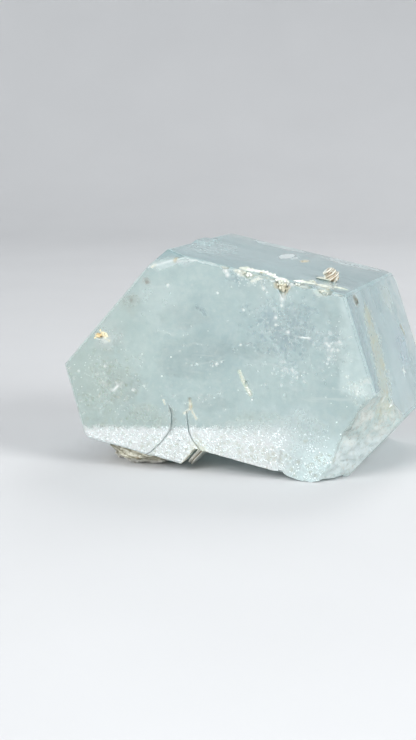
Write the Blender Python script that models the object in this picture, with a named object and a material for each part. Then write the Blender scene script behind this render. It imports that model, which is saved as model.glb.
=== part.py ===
"""Aquamarine crystal: a stout hexagonal prism of pale blue beryl, standing on its broken base.

Blender 4.5, metres, +Z up. The prism's axis lies along Y, level, and its flat front end faces -Y. The
origin is on the ground under the middle of the crystal. Brown mica clings under its lower left side and
in the notch beside it, and a small mica book is set in its top face.
"""

import math

import bmesh
import bpy
from mathutils import Matrix, Vector, noise

MM = 0.001

# Driving dimensions
LENGTH = 45.0 * MM  # along the prism's axis, from the front end to the back end
AXIS_HEIGHT = 22.0 * MM  # the prism's axis above the ground
TURN = -11.5  # degrees that the hexagon is turned about its axis
GAP = 0.3 * MM  # between pieces that touch
EDGE_WEAR = 0.25 * MM  # width of the worn bevel along the crystal's edges

# Prism faces: the direction each faces before TURN, in degrees from +X, and its distance from the axis
PRISM_FACES = {
    "top": (90, 18.5 * MM),
    "right": (30, 27.3 * MM),
    "lower_right": (-30, 32.2 * MM),
    "bottom": (-90, 21.6 * MM),
    "lower_left": (-152, 31.8 * MM),
    "upper_left": (150, 23.3 * MM),
}
FRONT = -LENGTH / 2
BACK = LENGTH / 2
AXIS = Vector((0, 0, AXIS_HEIGHT))

# Small facets that cut off corners: the two prism faces, the end, and how far the cut runs along the edge of
# each face and along the prism edge
CORNER_FACETS = (
    ("upper_left", "top", FRONT, 4.0 * MM, 5.2 * MM, 3.9 * MM),
    ("lower_left", "upper_left", BACK, 3.0 * MM, 3.4 * MM, 3.2 * MM),
    ("top", "right", BACK, 2.2 * MM, 2.0 * MM, 1.8 * MM),
    ("bottom", "lower_left", FRONT, 0.7 * MM, 0.9 * MM, 0.6 * MM),
)

# A low growth layer astride the top left edge
LAYER_HEIGHT = 0.32 * MM
LAYER_WIDTH = 2.2 * MM  # down each of the two faces
LAYER_START = 21.0 * MM  # behind the front end
LAYER_END = 28.5 * MM

# The re-entrant notch under the front: its left wall and its roof are growth steps parallel to prism faces
NOTCH_WALL = 7.25 * MM  # the left wall's distance from the axis, along the lower right face's normal
NOTCH_ROOF = 17.8 * MM  # the roof's distance from the axis, along the bottom face's normal
NOTCH_RIGHT = 11.4 * MM  # where the notch ends at the front foot
NOTCH_DEPTH = 20.0 * MM  # from the front end

# The broken base: the outline of the front foot as (x, z), and the broken surface behind it
FOOT_OUTLINE = (
    (-2.0, 1.8), (12.0, 1.7), (12.8, 1.05), (15.8, 0.1), (18.3, 0.0), (19.7, 0.45), (23.3, 1.0), (27.0, 2.2),
)
FOOT_BLEND = 5.0 * MM  # the depth over which the outline gives way to the broken surface
BASE_CELL = 1.2 * MM
BASE_BUMP = 1.5 * MM
BASE_LEDGE = 0.45 * MM

# The fracture that took off the lower right corner: the plane through three points of its rim, as (x, depth
# behind the front end, z)
FRACTURE_TOP = (30.2, 0, 17.2)
FRACTURE_FOOT = (22.5, 0, 4.7)
FRACTURE_BACK = (32.7, 12.0, 10.3)
# How far its front rim bites into the end face, as (distance down the rim, bite)
FRACTURE_RIM = (
    (-3, 0), (0, 0), (2.6, 0.6), (4.2, 1.2), (5.8, 0.6), (7.9, 0.6), (10.6, 1.2), (14.5, 0), (17, 0.3),
)
FRACTURE_HOLLOW = (0.8 * MM, -8.3 * MM, 2.4 * MM, 3.2 * MM)  # along the rim, across it, depth, radius
FRACTURE_CELL = 0.7 * MM
RIPPLE_SPACING = 2.4 * MM
RIPPLE_HEIGHT = 0.12 * MM

# Chips along the top front edge: x of the middle, then half the length, the depth and the drop down the front
EDGE_CHIPS = (
    (0.7, 0.9, 0.7, 0.6),
    (5.4, 1.5, 0.8, 1.4),
    (8.2, 2.8, 1.4, 0.6),
    (15.9, 2.0, 2.6, 0.6),
    (20.2, 1.5, 3.4, 1.0),
    (23.0, 1.2, 1.2, 0.35),
)
WEDGE_TIP = (12.1, 0, 35.0)  # of the wedge-shaped chip that runs down the front from the same edge
WEDGE_LEAN = 24.0  # degrees that each side of the wedge leans
WEDGE_DEPTH_LEAN = 26.0  # degrees that the back of the wedge leans

# Pits: the place of the middle, as (x, depth behind the front end, z), and the radii
PITS = {
    "orange_pit": ((-25.1, 0, 26.2), (0.75, 0.5, 0.6)),
    "oval_pit": ((24.7, 6.8, 34.3), (0.35, 1.0, 0.75)),
    "needle_pit": ((5.0, 0, 18.3), (0.3, 0.25, 0.6)),
    "top_pit": ((8.5, 30.0, 39.2), (0.6, 1.4, 0.3)),
    "back_pit": ((-8.0, 45.0, 30.0), (1.1, 0.5, 0.8)),
    "left_pit": ((-28.0, 26.0, 25.7), (0.8, 1.6, 0.8)),
}

# Open cracks in the front end, as (x, z, width) down each crack
CRACKS = {
    "left_crack": (
        (-10.7, 13.3, 0.1), (-10.1, 11.4, 0.25), (-10.1, 9.7, 0.45), (-10.4, 8.4, 0.6),
        (-11.1, 7.3, 0.45), (-12.6, 5.4, 0.28), (-14.7, 3.5, 0.25), (-17.0, 2.5, 0.22),
    ),
    "right_crack": (
        (-7.0, 12.5, 0.1), (-6.9, 10.6, 0.2), (-6.6, 8.2, 0.28), (-5.9, 6.6, 0.28), (-4.2, 4.6, 0.25),
    ),
}
CRACK_DEPTH = 0.9 * MM

# Mica: the crust's middle as (x, depth behind the front end, z)
CRUST_MIDDLE = (-18.3, 14.9, 3.4)
CRUST_RADII = (8.8 * MM, 14.2 * MM, 4.9 * MM)
CRUST_BUMP = 0.5 * MM
CRUST_FRONT = 2.4 * MM  # behind the front end
MICA_PLATE = 0.3 * MM  # thickness of one plate of the stacks
BOOK_FOOT = (17.9, 13.4, 37.1)  # on the top face
BOOK_RADIUS = 1.45 * MM
BOOK_SHARES = (0.86, 1.0, 0.9, 1.04, 0.94, 1.0, 0.82)  # each plate's size beside BOOK_RADIUS
BOOK_RISE = 1.15 * MM  # of the stack's middle above its foot
BOOK_LEAN = (38.0, 0.0, 62.0)  # degrees about X, Y and Z
FLAKE_SHARES = (1.0, 0.92, 0.97)
FLAKE_HEIGHT = 4.3 * MM  # along the notch's wall, down from the roof
FLAKE_LENGTH = 8.4 * MM
FLAKE_START = 3.5 * MM  # behind the front end


def at(place):
    """The point at this x, depth behind the front end and z, all in millimetres."""
    x, depth, z = place
    return Vector((x * MM, FRONT + depth * MM, z * MM))


def face_normal(face):
    """The outward normal of a prism face."""
    angle = math.radians(PRISM_FACES[face][0] + TURN)
    return Vector((math.cos(angle), 0, math.sin(angle)))


def face_plane(face, distance=None):
    """A point on a prism face's plane, or on a parallel one, and its outward normal."""
    normal = face_normal(face)
    return AXIS + normal * (PRISM_FACES[face][1] if distance is None else distance), normal


def meeting(plane_a, plane_b, y):
    """Where two planes along the prism's axis meet at this y."""
    (point_a, normal_a), (point_b, normal_b) = plane_a, plane_b
    rows = Matrix(((normal_a.x, normal_a.z), (normal_b.x, normal_b.z)))
    x, z = rows.inverted() @ Vector((normal_a.dot(point_a), normal_b.dot(point_b)))
    return Vector((x, y, z))


def corner(face_a, face_b, y):
    """Where two prism faces meet at this y."""
    return meeting(face_plane(face_a), face_plane(face_b), y)


def along_edge(face, away_from):
    """The direction along a face's edge on the end, away from its neighbour."""
    normal = face_normal(face)
    direction = Vector((-normal.z, 0, normal.x))
    return direction if direction.dot(face_normal(away_from)) < 0 else -direction


def facet_plane(face_a, face_b, end, along_a, along_b, inwards):
    """The plane that cuts a corner off at these distances along its three edges."""
    tip = corner(face_a, face_b, end)
    on_a = tip + along_edge(face_a, face_b) * along_a
    on_b = tip + along_edge(face_b, face_a) * along_b
    inside = tip + Vector((0, math.copysign(inwards, -end), 0))
    normal = (on_b - on_a).cross(inside - on_a).normalized()
    return on_a, normal if normal.dot(tip - on_a) > 0 else -normal


def carve(bm, point, normal):
    """Cuts away what lies beyond a plane and closes the cut with one face."""
    everything = bm.verts[:] + bm.edges[:] + bm.faces[:]
    cut = bmesh.ops.bisect_plane(bm, geom=everything, plane_co=point, plane_no=normal, clear_outer=True)
    rim = [part for part in cut["geom_cut"] if isinstance(part, bmesh.types.BMEdge)]
    if rim:
        bmesh.ops.edgeloop_fill(bm, edges=rim)


def new_object(name, bm):
    """Turns a bmesh into an object in the scene, with its normals pointing out."""
    bmesh.ops.recalc_face_normals(bm, faces=bm.faces)
    mesh = bpy.data.meshes.new(name)
    bm.to_mesh(mesh)
    bm.free()
    made = bpy.data.objects.new(name, mesh)
    bpy.context.scene.collection.objects.link(made)
    return made


def convex_solid(name, planes):
    """The solid inside all these planes."""
    bm = bmesh.new()
    bmesh.ops.create_cube(bm, size=6 * LENGTH)
    for point, normal in planes:
        carve(bm, point, normal)
    return new_object(name, bm)


def combine(solid, name, operation, helpers):
    """Adds these helpers' shapes to a solid, or cuts them out of it, in one go, and hides the helpers."""
    group = bpy.data.collections.new(name)
    bpy.context.scene.collection.children.link(group)
    for helper in helpers:
        bpy.context.scene.collection.objects.unlink(helper)
        group.objects.link(helper)
        helper.hide_render = True
        helper.display_type = "WIRE"
    boolean = solid.modifiers.new(name, "BOOLEAN")
    boolean.operation = operation
    boolean.solver = "EXACT"
    boolean.operand_type = "COLLECTION"
    boolean.collection = group


def interpolate(outline, x):
    """The outline's height at x, straight between its points."""
    if x <= outline[0][0]:
        return outline[0][1]
    for (x0, y0), (x1, y1) in zip(outline, outline[1:]):
        if x <= x1:
            return y0 + (y1 - y0) * (x - x0) / (x1 - x0)
    return outline[-1][1]


def smooth_step(t):
    t = max(0.0, min(1.0, t))
    return t * t * (3 - 2 * t)


def rough_block(name, origin, u_axis, v_axis, u_span, v_span, cell, height):
    """A closed block whose near side is the surface height(u, v) over a plane, for cutting a broken face."""
    thickness = LENGTH / 2
    u_count = round((u_span[1] - u_span[0]) / cell)
    v_count = round((v_span[1] - v_span[0]) / cell)
    out = u_axis.cross(v_axis)
    bm = bmesh.new()
    near, far = [], []
    for i in range(u_count + 1):
        for j in range(v_count + 1):
            u, v = u_span[0] + i * cell, v_span[0] + j * cell
            place = origin + u_axis * u + v_axis * v
            near.append(bm.verts.new(place + out * height(u, v)))
            far.append(bm.verts.new(place - out * thickness))
    row = v_count + 1
    for i in range(u_count):
        for j in range(v_count):
            a, b, c, d = i * row + j, (i + 1) * row + j, (i + 1) * row + j + 1, i * row + j + 1
            bm.faces.new((near[a], near[b], near[c], near[d]))
            bm.faces.new((far[d], far[c], far[b], far[a]))
    rim = [i * row for i in range(u_count + 1)]
    rim += [u_count * row + j for j in range(1, row)]
    rim += [i * row + v_count for i in range(u_count - 1, -1, -1)]
    rim += [j for j in range(v_count - 1, 0, -1)]
    for a, b in zip(rim, rim[1:] + rim[:1]):
        bm.faces.new((near[b], near[a], far[a], far[b]))
    return new_object(name, bm)


def lump(name, middle, radii, bump, planes):
    """A lumpy piece, flat where the planes cut it."""
    bm = bmesh.new()
    bmesh.ops.create_icosphere(bm, subdivisions=4, radius=1)
    for vertex in bm.verts:
        way = vertex.co.copy()
        swell = 1 + 0.12 * noise.fractal(way * 1.7 + middle * 90, 0.8, 2.1, 4)
        vertex.co = middle + Vector([way[i] * radii[i] for i in range(3)]) * swell
        vertex.co += way * bump * noise.noise(way * 4.5)
    for point, normal in planes:
        carve(bm, point, normal)
    return new_object(name, bm)


def prism():
    """The whole crystal before anything broke off it."""
    planes = [face_plane(face) for face in PRISM_FACES]
    planes += [(Vector((0, FRONT, 0)), Vector((0, -1, 0))), (Vector((0, BACK, 0)), Vector((0, 1, 0)))]
    planes += [facet_plane(*facet) for facet in CORNER_FACETS]
    solid = convex_solid("aquamarine_crystal", planes)
    wear = solid.modifiers.new("edge wear", "BEVEL")
    wear.width = EDGE_WEAR
    wear.segments = 1
    wear.limit_method = "ANGLE"
    wear.angle_limit = math.radians(20)
    return solid


def growth_layer():
    """A thin raised layer astride the top left edge, sunk into the crystal below."""
    edge = corner("upper_left", "top", 0)
    inside = -(face_normal("upper_left") + face_normal("top")).normalized()
    planes = [face_plane(face, PRISM_FACES[face][1] + LAYER_HEIGHT) for face in ("upper_left", "top")]
    planes += [
        (edge + along_edge("upper_left", "top") * LAYER_WIDTH, along_edge("upper_left", "top")),
        (edge + along_edge("top", "upper_left") * LAYER_WIDTH, along_edge("top", "upper_left")),
        (edge + inside * LAYER_WIDTH, inside),
        (corner("upper_left", "top", FRONT + LAYER_START), Vector((0, -1, 1.6)).normalized()),
        (corner("upper_left", "top", FRONT + LAYER_END), Vector((0, 1, 1.6)).normalized()),
    ]
    return convex_solid("growth_layer", planes)


def notch():
    """The cutter for the step under the front, with walls parallel to the crystal's own faces."""
    wall_point, wall_normal = face_plane("lower_right", NOTCH_WALL)
    roof_point, roof_normal = face_plane("bottom", NOTCH_ROOF)
    planes = (
        (wall_point, -wall_normal),
        (roof_point, -roof_normal),
        (Vector((NOTCH_RIGHT, 0, 0)), Vector((1, 0, 0.35)).normalized()),
        (Vector((0, FRONT + NOTCH_DEPTH, 0)), Vector((0.25, 1, -0.3)).normalized()),
        (Vector((0, FRONT - LENGTH / 4, 0)), Vector((0, -1, 0))),
        (Vector((0, 0, -AXIS_HEIGHT / 2)), Vector((0, 0, -1))),
    )
    return convex_solid("notch_cutter", planes)


def base_height(x, y):
    """The broken base above the ground: ledges that come down to flat patches on the ground."""
    place = Vector((x, y, 0)) / (6.5 * MM)
    ledges = round(BASE_BUMP * noise.fractal(place, 0.7, 2.0, 4) / BASE_LEDGE) * BASE_LEDGE
    broken = max(0.0, ledges)
    outline = interpolate(FOOT_OUTLINE, x / MM) * MM
    share = smooth_step((y - FRONT) / FOOT_BLEND)
    return outline * (1 - share) + broken * share


def base():
    """The cutter that breaks the crystal off near the ground."""
    half = LENGTH / 2 + 2 * BASE_CELL
    return rough_block(
        "base_cutter", Vector((0, 0, 0)), Vector((1, 0, 0)), Vector((0, 1, 0)),
        (-4 * BASE_CELL, 24 * BASE_CELL), (-half, half), BASE_CELL, base_height,
    )


def fracture_height(u, v):
    """The fracture surface's bite beyond its plane: a ragged rim, a hollow, shell-like ripples and grain."""
    rim = interpolate(FRACTURE_RIM, u / MM) * MM * math.exp(-((v / (3 * MM)) ** 2))
    along, across, depth, radius = FRACTURE_HOLLOW
    away = math.hypot(u - along, (v - across) * 0.6)
    hollow = depth * math.exp(-((away / radius) ** 2))
    reach = math.hypot(u - along, v - across)
    ripples = RIPPLE_HEIGHT * math.sin(reach / RIPPLE_SPACING * math.tau)
    grain = 0.35 * MM * noise.fractal(Vector((u, v, 0)) / (2.6 * MM), 0.6, 2.0, 4)
    coarse = smooth_step((u - 6 * MM) / (5 * MM))
    return rim + hollow + ripples * (1 - coarse) + grain * (0.4 + 1.4 * coarse)


def fracture():
    """The cutter that takes off the lower right corner."""
    top, foot, back = at(FRACTURE_TOP), at(FRACTURE_FOOT), at(FRACTURE_BACK)
    down = (foot - top).normalized()
    out = down.cross(back - top).normalized()
    if out.x < 0:
        out.negate()
    across = (-out).cross(down)
    return rough_block(
        "fracture_cutter", top, down, across,
        (-12 * MM, 30 * MM), (-34 * MM, 8 * MM), FRACTURE_CELL, fracture_height,
    )


def scoop(name, middle, radii, turn=0.0):
    """A faceted egg that cuts a shallow shell-shaped chip, turned about Y."""
    bm = bmesh.new()
    bmesh.ops.create_icosphere(bm, subdivisions=2, radius=1)
    for vertex in bm.verts:
        uneven = 1 + 0.16 * noise.noise(vertex.co * 2.3 + middle * 200)
        vertex.co = Vector([vertex.co[i] * radii[i] * uneven for i in range(3)])
    bmesh.ops.rotate(bm, verts=bm.verts, matrix=Matrix.Rotation(turn, 3, "Y"))
    bmesh.ops.translate(bm, verts=bm.verts, vec=middle)
    return new_object(name, bm)


def edge_chips():
    """Cutters for the chips along the top front edge."""
    left, right = corner("upper_left", "top", FRONT), corner("top", "right", FRONT)
    slope = math.atan2(left.z - right.z, right.x - left.x)
    for number, (x, half_length, depth, drop) in enumerate(EDGE_CHIPS, 1):
        share = (x * MM - left.x) / (right.x - left.x)
        middle = left.lerp(right, share)
        yield scoop(f"edge_chip_{number}", middle, (half_length * MM, depth * MM, drop * MM), slope)


def wedge_chip():
    """The cutter for the wedge-shaped chip, narrowing down to its tip on the front end."""
    tip = at(WEDGE_TIP)
    side = math.radians(WEDGE_LEAN)
    back = math.radians(WEDGE_DEPTH_LEAN)
    planes = (
        (tip, Vector((-math.cos(side), 0, -math.sin(side)))),
        (tip, Vector((math.cos(side), 0, -math.sin(side)))),
        (tip, Vector((0, math.cos(back), -math.sin(back)))),
        (tip + Vector((0, -LENGTH / 20, 0)), Vector((0, -1, 0))),
        (tip + Vector((0, 0, LENGTH / 8)), Vector((0, 0, 1))),
    )
    return convex_solid("wedge_chip", planes)


def crack(name, path):
    """A thin V-shaped cutter down a crack in the front end."""
    bm = bmesh.new()
    rings = []
    for i, (x, z, width) in enumerate(path):
        before, after = path[max(i - 1, 0)], path[min(i + 1, len(path) - 1)]
        side = Vector((after[1] - before[1], 0, before[0] - after[0])).normalized() * width * MM
        place = Vector((x * MM, FRONT, z * MM))
        above = Vector((0, -CRACK_DEPTH, 0))
        rings.append([bm.verts.new(place + above + side), bm.verts.new(place + above - side)])
        rings[-1].append(bm.verts.new(place + Vector((0, CRACK_DEPTH, 0))))
    for ring, following in zip(rings, rings[1:]):
        for a in range(3):
            b = (a + 1) % 3
            bm.faces.new((ring[a], ring[b], following[b], following[a]))
    bm.faces.new(rings[0])
    bm.faces.new(rings[-1])
    return new_object(name, bm)


def plate_stack(name, outline, shares, plate):
    """Mica plates stacked along Z about the origin: one outline, grown or shrunk by each plate's share."""
    bm = bmesh.new()
    base_height = -plate * len(shares) / 2
    rings = []
    for i, share in enumerate(shares):
        for level in (i, i + 1):
            height = base_height + level * plate
            rings.append([bm.verts.new((u * share, v * share, height)) for u, v in outline])
    for ring, following in zip(rings, rings[1:]):
        for a in range(len(outline)):
            b = (a + 1) % len(outline)
            bm.faces.new((ring[a], ring[b], following[b], following[a]))
    bm.faces.new(rings[0])
    bm.faces.new(rings[-1])
    return new_object(name, bm)


def book_stack(name, shares, plate, radius):
    """A stack of six-sided plates where the mica book leans on the top face."""
    hexagon = [(radius * math.cos(math.tau * k / 6), radius * math.sin(math.tau * k / 6)) for k in range(6)]
    made = plate_stack(name, hexagon, shares, plate)
    made.location = at(BOOK_FOOT) + face_normal("top") * BOOK_RISE
    made.rotation_euler = [math.radians(angle) for angle in BOOK_LEAN]
    return made


def book_pocket():
    """The cutter for the mica book's pocket: one plate with a gap all round the stack."""
    thickness = MICA_PLATE * len(BOOK_SHARES) + 2 * GAP
    return book_stack("book_pocket", (1.0,), thickness, BOOK_RADIUS * max(BOOK_SHARES) + GAP)


def aquamarine_crystal():
    solid = prism()
    cutters = [base(), notch(), fracture(), book_pocket(), wedge_chip()]
    cutters += list(edge_chips())
    cutters += [crack(name, path) for name, path in CRACKS.items()]
    cutters += [scoop(name, at(place), Vector(radii) * MM) for name, (place, radii) in PITS.items()]
    combine(solid, "additions", "UNION", [growth_layer()])
    combine(solid, "cuts", "DIFFERENCE", cutters)
    return solid


def mica_crust():
    """Brown mica under the lower left side, flat where it meets the crystal and where it stands."""
    under_point, under_normal = face_plane("bottom", PRISM_FACES["bottom"][1] + GAP)
    planes = (
        (under_point, -under_normal),
        (Vector((0, 0, 0)), Vector((0, 0, -1))),
        (Vector((0, FRONT + CRUST_FRONT, 0)), Vector((0, -1, -0.25)).normalized()),
    )
    return lump("mica_crust", at(CRUST_MIDDLE), CRUST_RADII, CRUST_BUMP, planes)


def mica_flake():
    """A stack of brown plates against the notch's left wall, hanging from just under its roof."""
    wall, roof = face_plane("lower_right", NOTCH_WALL), face_plane("bottom", NOTCH_ROOF)
    out = wall[1]
    down = along_edge("lower_right", "right")
    height, length = FLAKE_HEIGHT / 2, FLAKE_LENGTH / 2
    outline = (
        (-height, -length), (0.35 * height, -length), (height, -0.6 * length),
        (0.9 * height, 0.3 * length), (0.3 * height, length), (-height, 0.8 * length),
    )
    made = plate_stack("mica_flake", outline, FLAKE_SHARES, MICA_PLATE)
    top = meeting(wall, roof, FRONT + FLAKE_START + length)
    thickness = MICA_PLATE * len(FLAKE_SHARES)
    made.location = top + down * (height + 2 * GAP) + out * (GAP + thickness / 2)
    axes = (down, Vector((0, 1, 0)), down.cross(Vector((0, 1, 0))))
    made.rotation_euler = Matrix(axes).transposed().to_euler()
    return made


def material(name, colour, roughness, transmission=0.0):
    """A plain Principled material."""
    made = bpy.data.materials.new(name)
    made.use_nodes = True
    shader = made.node_tree.nodes["Principled BSDF"]
    shader.inputs["Base Color"].default_value = (*colour, 1)
    shader.inputs["Roughness"].default_value = roughness
    shader.inputs["Metallic"].default_value = 0.0
    shader.inputs["Transmission Weight"].default_value = transmission
    shader.inputs["IOR"].default_value = 1.58
    return made


def main():
    for old in list(bpy.data.objects):
        bpy.data.objects.remove(old)
    beryl = material("aquamarine", (0.56, 0.71, 0.72), 0.2, 0.6)
    brown_mica = material("brown_mica", (0.24, 0.16, 0.09), 0.45)
    pale_mica = material("pale_mica", (0.55, 0.45, 0.32), 0.4)
    aquamarine_crystal().data.materials.append(beryl)
    mica_crust().data.materials.append(brown_mica)
    mica_flake().data.materials.append(brown_mica)
    book_stack("mica_book", BOOK_SHARES, MICA_PLATE, BOOK_RADIUS).data.materials.append(pale_mica)


main()
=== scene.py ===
"""The aquamarine crystal's looks: a fine surface, mica, inclusions, studio floor, lights and camera."""

import math

import bmesh
import bpy
import numpy as np
from mathutils import Euler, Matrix, Vector, geometry, noise
from mathutils.bvhtree import BVHTree


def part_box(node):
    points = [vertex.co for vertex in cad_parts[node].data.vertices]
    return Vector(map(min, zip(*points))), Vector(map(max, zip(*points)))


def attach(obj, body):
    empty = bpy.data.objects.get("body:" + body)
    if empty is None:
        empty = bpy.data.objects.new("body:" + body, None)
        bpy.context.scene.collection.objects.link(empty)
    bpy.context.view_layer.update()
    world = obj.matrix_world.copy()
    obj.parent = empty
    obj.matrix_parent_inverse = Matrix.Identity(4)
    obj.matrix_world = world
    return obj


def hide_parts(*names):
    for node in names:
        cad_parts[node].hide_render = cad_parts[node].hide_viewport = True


MM = 0.001
noise.seed_set(7)  # noise_vector takes its offsets from this seed, so each run gives the same marks
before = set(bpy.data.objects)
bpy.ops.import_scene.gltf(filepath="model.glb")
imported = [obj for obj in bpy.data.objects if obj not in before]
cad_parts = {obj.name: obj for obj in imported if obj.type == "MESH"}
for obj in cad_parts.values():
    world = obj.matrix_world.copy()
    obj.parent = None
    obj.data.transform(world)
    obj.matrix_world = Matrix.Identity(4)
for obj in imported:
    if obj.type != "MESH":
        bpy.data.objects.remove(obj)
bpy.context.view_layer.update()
LOW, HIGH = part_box("aquamarine_crystal")
FRONT = LOW.y
DEPTH = (HIGH.y - FRONT) / MM

# The prism as the solids have it: each face's direction in degrees and its distance from the axis in mm
AXIS_HEIGHT = 22.0
TURN = -11.5
PRISM_FACES = ((90, 18.5), (30, 27.3), (-30, 32.2), (-90, 21.6), (-152, 31.8), (150, 23.3))
RIGHT_FACE = (math.cos(math.radians(30 + TURN)), 0.0, math.sin(math.radians(30 + TURN)))
RIGHT_EDGE = 27.3 + AXIS_HEIGHT * RIGHT_FACE[2]  # along that direction

# The two open cracks in the front end as x, z in mm, which the solids have too
CRACKS = (
    (
        (-10.7, 13.3), (-10.1, 11.4), (-10.1, 9.7), (-10.4, 8.4),
        (-11.1, 7.3), (-12.6, 5.4), (-14.7, 3.5), (-17, 2.5),
    ),
    ((-7, 12.5), (-6.9, 10.6), (-6.6, 8.2), (-5.9, 6.6), (-4.2, 4.6)),
)
CRACK_TOP = 14  # mm, above both cracks
CRACK_DEPTH = 1  # mm, deeper than both
CRACK_REACH = 0.75  # mm on either side of a crack's line that count as crack
CRACK_FILL = 0.6  # share of a crack's depth that is filled up here
CRACK_SHADE = 0.4  # mm deep, where a crack is as dark as it gets

# Fine surfaces, in mm
SKIN = 0.006  # what sits in the crystal's skin stays this far under the solid's surface
FOOT_TOP = 9.2  # the height at x = 0 of the white band, which is painted sunlight
FOOT_SLOPE = 0.058  # how much it rises along x
FRONT_STEP = 0.29  # between points on the front end
FINE_STEP = 0.42  # on the top and the right face
COARSE_STEP = 0.75
CRUST_STEP = 0.4
BOOK_LEAN = (38.0, 0.0, -62.0)  # degrees about X, Y and Z

# Shells in the chips as (middle, radii, turn in degrees), and crumbs as (start, end, count, size), in mm
PALE_SHELLS = (
    ((15.4, 4.4, 37.66), (2.4, 1.1, 0.3), (0, 10, 35)), ((4.4, 1.9, 39.8), (1.3, 0.9, 0.7), (0, 12, 10)),
    ((9.6, 1.9, 38.85), (1.6, 0.6, 0.4), (0, 14, -20)), ((11.8, 1.3, 38.2), (1.3, 0.7, 0.5), (0, 14, 0)),
    ((21.6, 6.8, 36.5), (1.5, 0.25, 0.2), (0, 12, 10)),
    ((16.8, 12.9, 37.45), (1.7, 1.6, 0.35), (0, 12, 20)), ((7, 3, 39.4), (1.9, 0.4, 0.4), (0, 12, 12)),
    ((18.9, 5, 36.95), (1.6, 1, 0.3), (0, 12, 35)),
)
STAINED_SHELLS = (((12, 1, 36.9), (0.8, 0.5, 0.9), (0, 10, 0)),)
PALE_CRUMBS = (
    ((4.2, 0.7, 39.5), (5.6, 0.7, 39), 34, 0.27), ((5, 2.8, 39.7), (7, 3.2, 39.4), 12, 0.28),
    ((7.6, 3, 39.2), (10.3, 2.2, 38.7), 20, 0.4), ((9.4, 0.6, 38), (9.9, 0.6, 37.8), 8, 0.34),
    ((6, 0.8, 38.8), (8.2, 0.8, 38.2), 9, 0.26), ((10.8, 0.9, 38.2), (13.2, 0.9, 37.6), 16, 0.36),
    ((12.6, 0.6, 35.9), (12.1, 0.5, 35), 10, 0.34), ((13.6, 0.6, 37.4), (15.2, 1.4, 37.7), 8, 0.28),
    ((14, 3.4, 38), (17, 6.8, 37.4), 9, 0.26), ((8.2, 0.3, 37), (8.4, 0.3, 36.4), 12, 0.2),
    ((18.8, 0.7, 36.8), (20.8, 0.7, 36), 12, 0.24),
)
STAINED_CRUMBS = (
    ((11, 0.8, 37.4), (12.8, 0.9, 36.8), 18, 0.42), ((5, 2.2, 39.6), (9.4, 2.8, 38.9), 16, 0.24),
    ((13.4, 0.6, 37.2), (12.6, 0.7, 35.9), 8, 0.3), ((17.6, 4.4, 37), (20, 6, 36.6), 5, 0.22),
    ((-25.6, 0.3, 26.2), (-24.2, 0.3, 26.5), 26, 0.16),
)
# Crumbs in the crystal's skin as (middle, spread, count, radius), in mm
SKIN_CRUMBS = (
    ((12, 0, 29.5), (3.4, 0, 3.6), 60, 0.08), ((22, 0, 26), (1.5, 0, 2.2), 30, 0.1),
    ((-24, 0, 15.5), (3.6, 0, 3.6), 60, 0.09), ((13.6, 0, 20.8), (1.5, 0, 0.7), 9, 0.12),
    ((26.6, 0, 18), (1.2, 0, 1.2), 26, 0.1), ((0, 0, 24), (13, 0, 8), 40, 0.06),
    ((-27.6, 0, 20.6), (1.3, 0, 1.3), 16, 0.09), ((6.6, 0, 38), (2.2, 0, 0.5), 26, 0.11),
    ((18, 0, 3.4), (5, 0, 1.4), 50, 0.1), ((-13, 0, 11.4), (6.5, 0, 1.3), 30, 0.08),
)
# White grains that brighten the foot band of painted sunlight, as (left, right, lowest, height over the
# band's top, count, size), in mm
FOOT_GRAINS = (
    (-29, -3, 0.6, 0.3, 1300, 0.28), (-14, -3, 0.6, 0.6, 400, 0.28), (-3, 13, 0.6, 0.2, 700, 0.28),
    (-3, 20, 0.6, -3, 300, 0.26), (17, 27, 0.6, -6, 160, 0.24),
)
# Walls that crumbs cling to, as (start, end): the notch's side, and the orange spot
NOTCH_LINES = tuple(((-5.5, depth, 4.9), (-8.6, depth, 1.3)) for depth in (0.4, 1.2, 2.0, 2.8))
ORANGE_LINES = (((-25.8, 0, 26.2), (-24.5, 0, 26.7)), ((-24.5, 0, 26.7), (-23.6, 0, 26.3)))

# Inside the crystal, in mm as x, depth, z: clouds of flecks as (middle, spread, count, size)
FLECK_CLOUDS = (
    ((12.5, 1.6, 30), (3.4, 0.9, 3.2), 110, 0.34), ((22.3, 1.4, 25.5), (1.7, 0.8, 2.6), 80, 0.36),
    ((-24, 2, 16.5), (3.6, 1.2, 3.6), 110, 0.34), ((-2, 2, 22), (5.5, 1.2, 2.8), 50, 0.26),
    ((13.5, 1.4, 20.9), (2.6, 0.8, 1), 40, 0.3), ((-12, 2, 11.5), (6, 1.2, 1.3), 70, 0.3),
    ((7, 1.6, 37.2), (3.4, 0.8, 1.2), 70, 0.36), ((6, 2, 11.5), (8, 1.2, 1), 60, 0.26),
    ((24, 24, 26), (3, 9, 5), 50, 0.3), ((-20, 25, 25), (5, 9, 5), 50, 0.3),
    ((19, 2, 4), (5, 1, 2.2), 160, 0.6), ((27, 5, 9.5), (3, 3, 3), 160, 0.5),
    ((16, 1.8, 33), (5, 1, 2.4), 70, 0.26), ((18, 1.6, 22), (5, 1, 6), 70, 0.24),
)
TUBE_COUNT = 70
# Healed cracks as (middle, half width, half height, direction)
VEILS = (
    ((13.5, 4.2, 29), 5, 4, (0.3, -1, 0.2)), ((-3.5, 4, 13.5), 5.5, 1.8, (0.1, -1, 0.9)),
    ((22.5, 4.5, 27), 2.2, 6, (0.8, -1, 0.1)), ((-21.5, 4.5, 16), 5, 3.2, (-0.5, -1, 0.4)),
    ((3, 8, 24), 8, 2.6, (0.2, -1, 1.3)), ((-10, 10, 30), 6, 3, (-0.4, -1, 0.8)),
    ((18, 22, 30), 5, 7, (1, 0.2, 0.6)), ((-12, 30, 20), 8, 5, (-0.6, 1, 0.4)),
)

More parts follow.
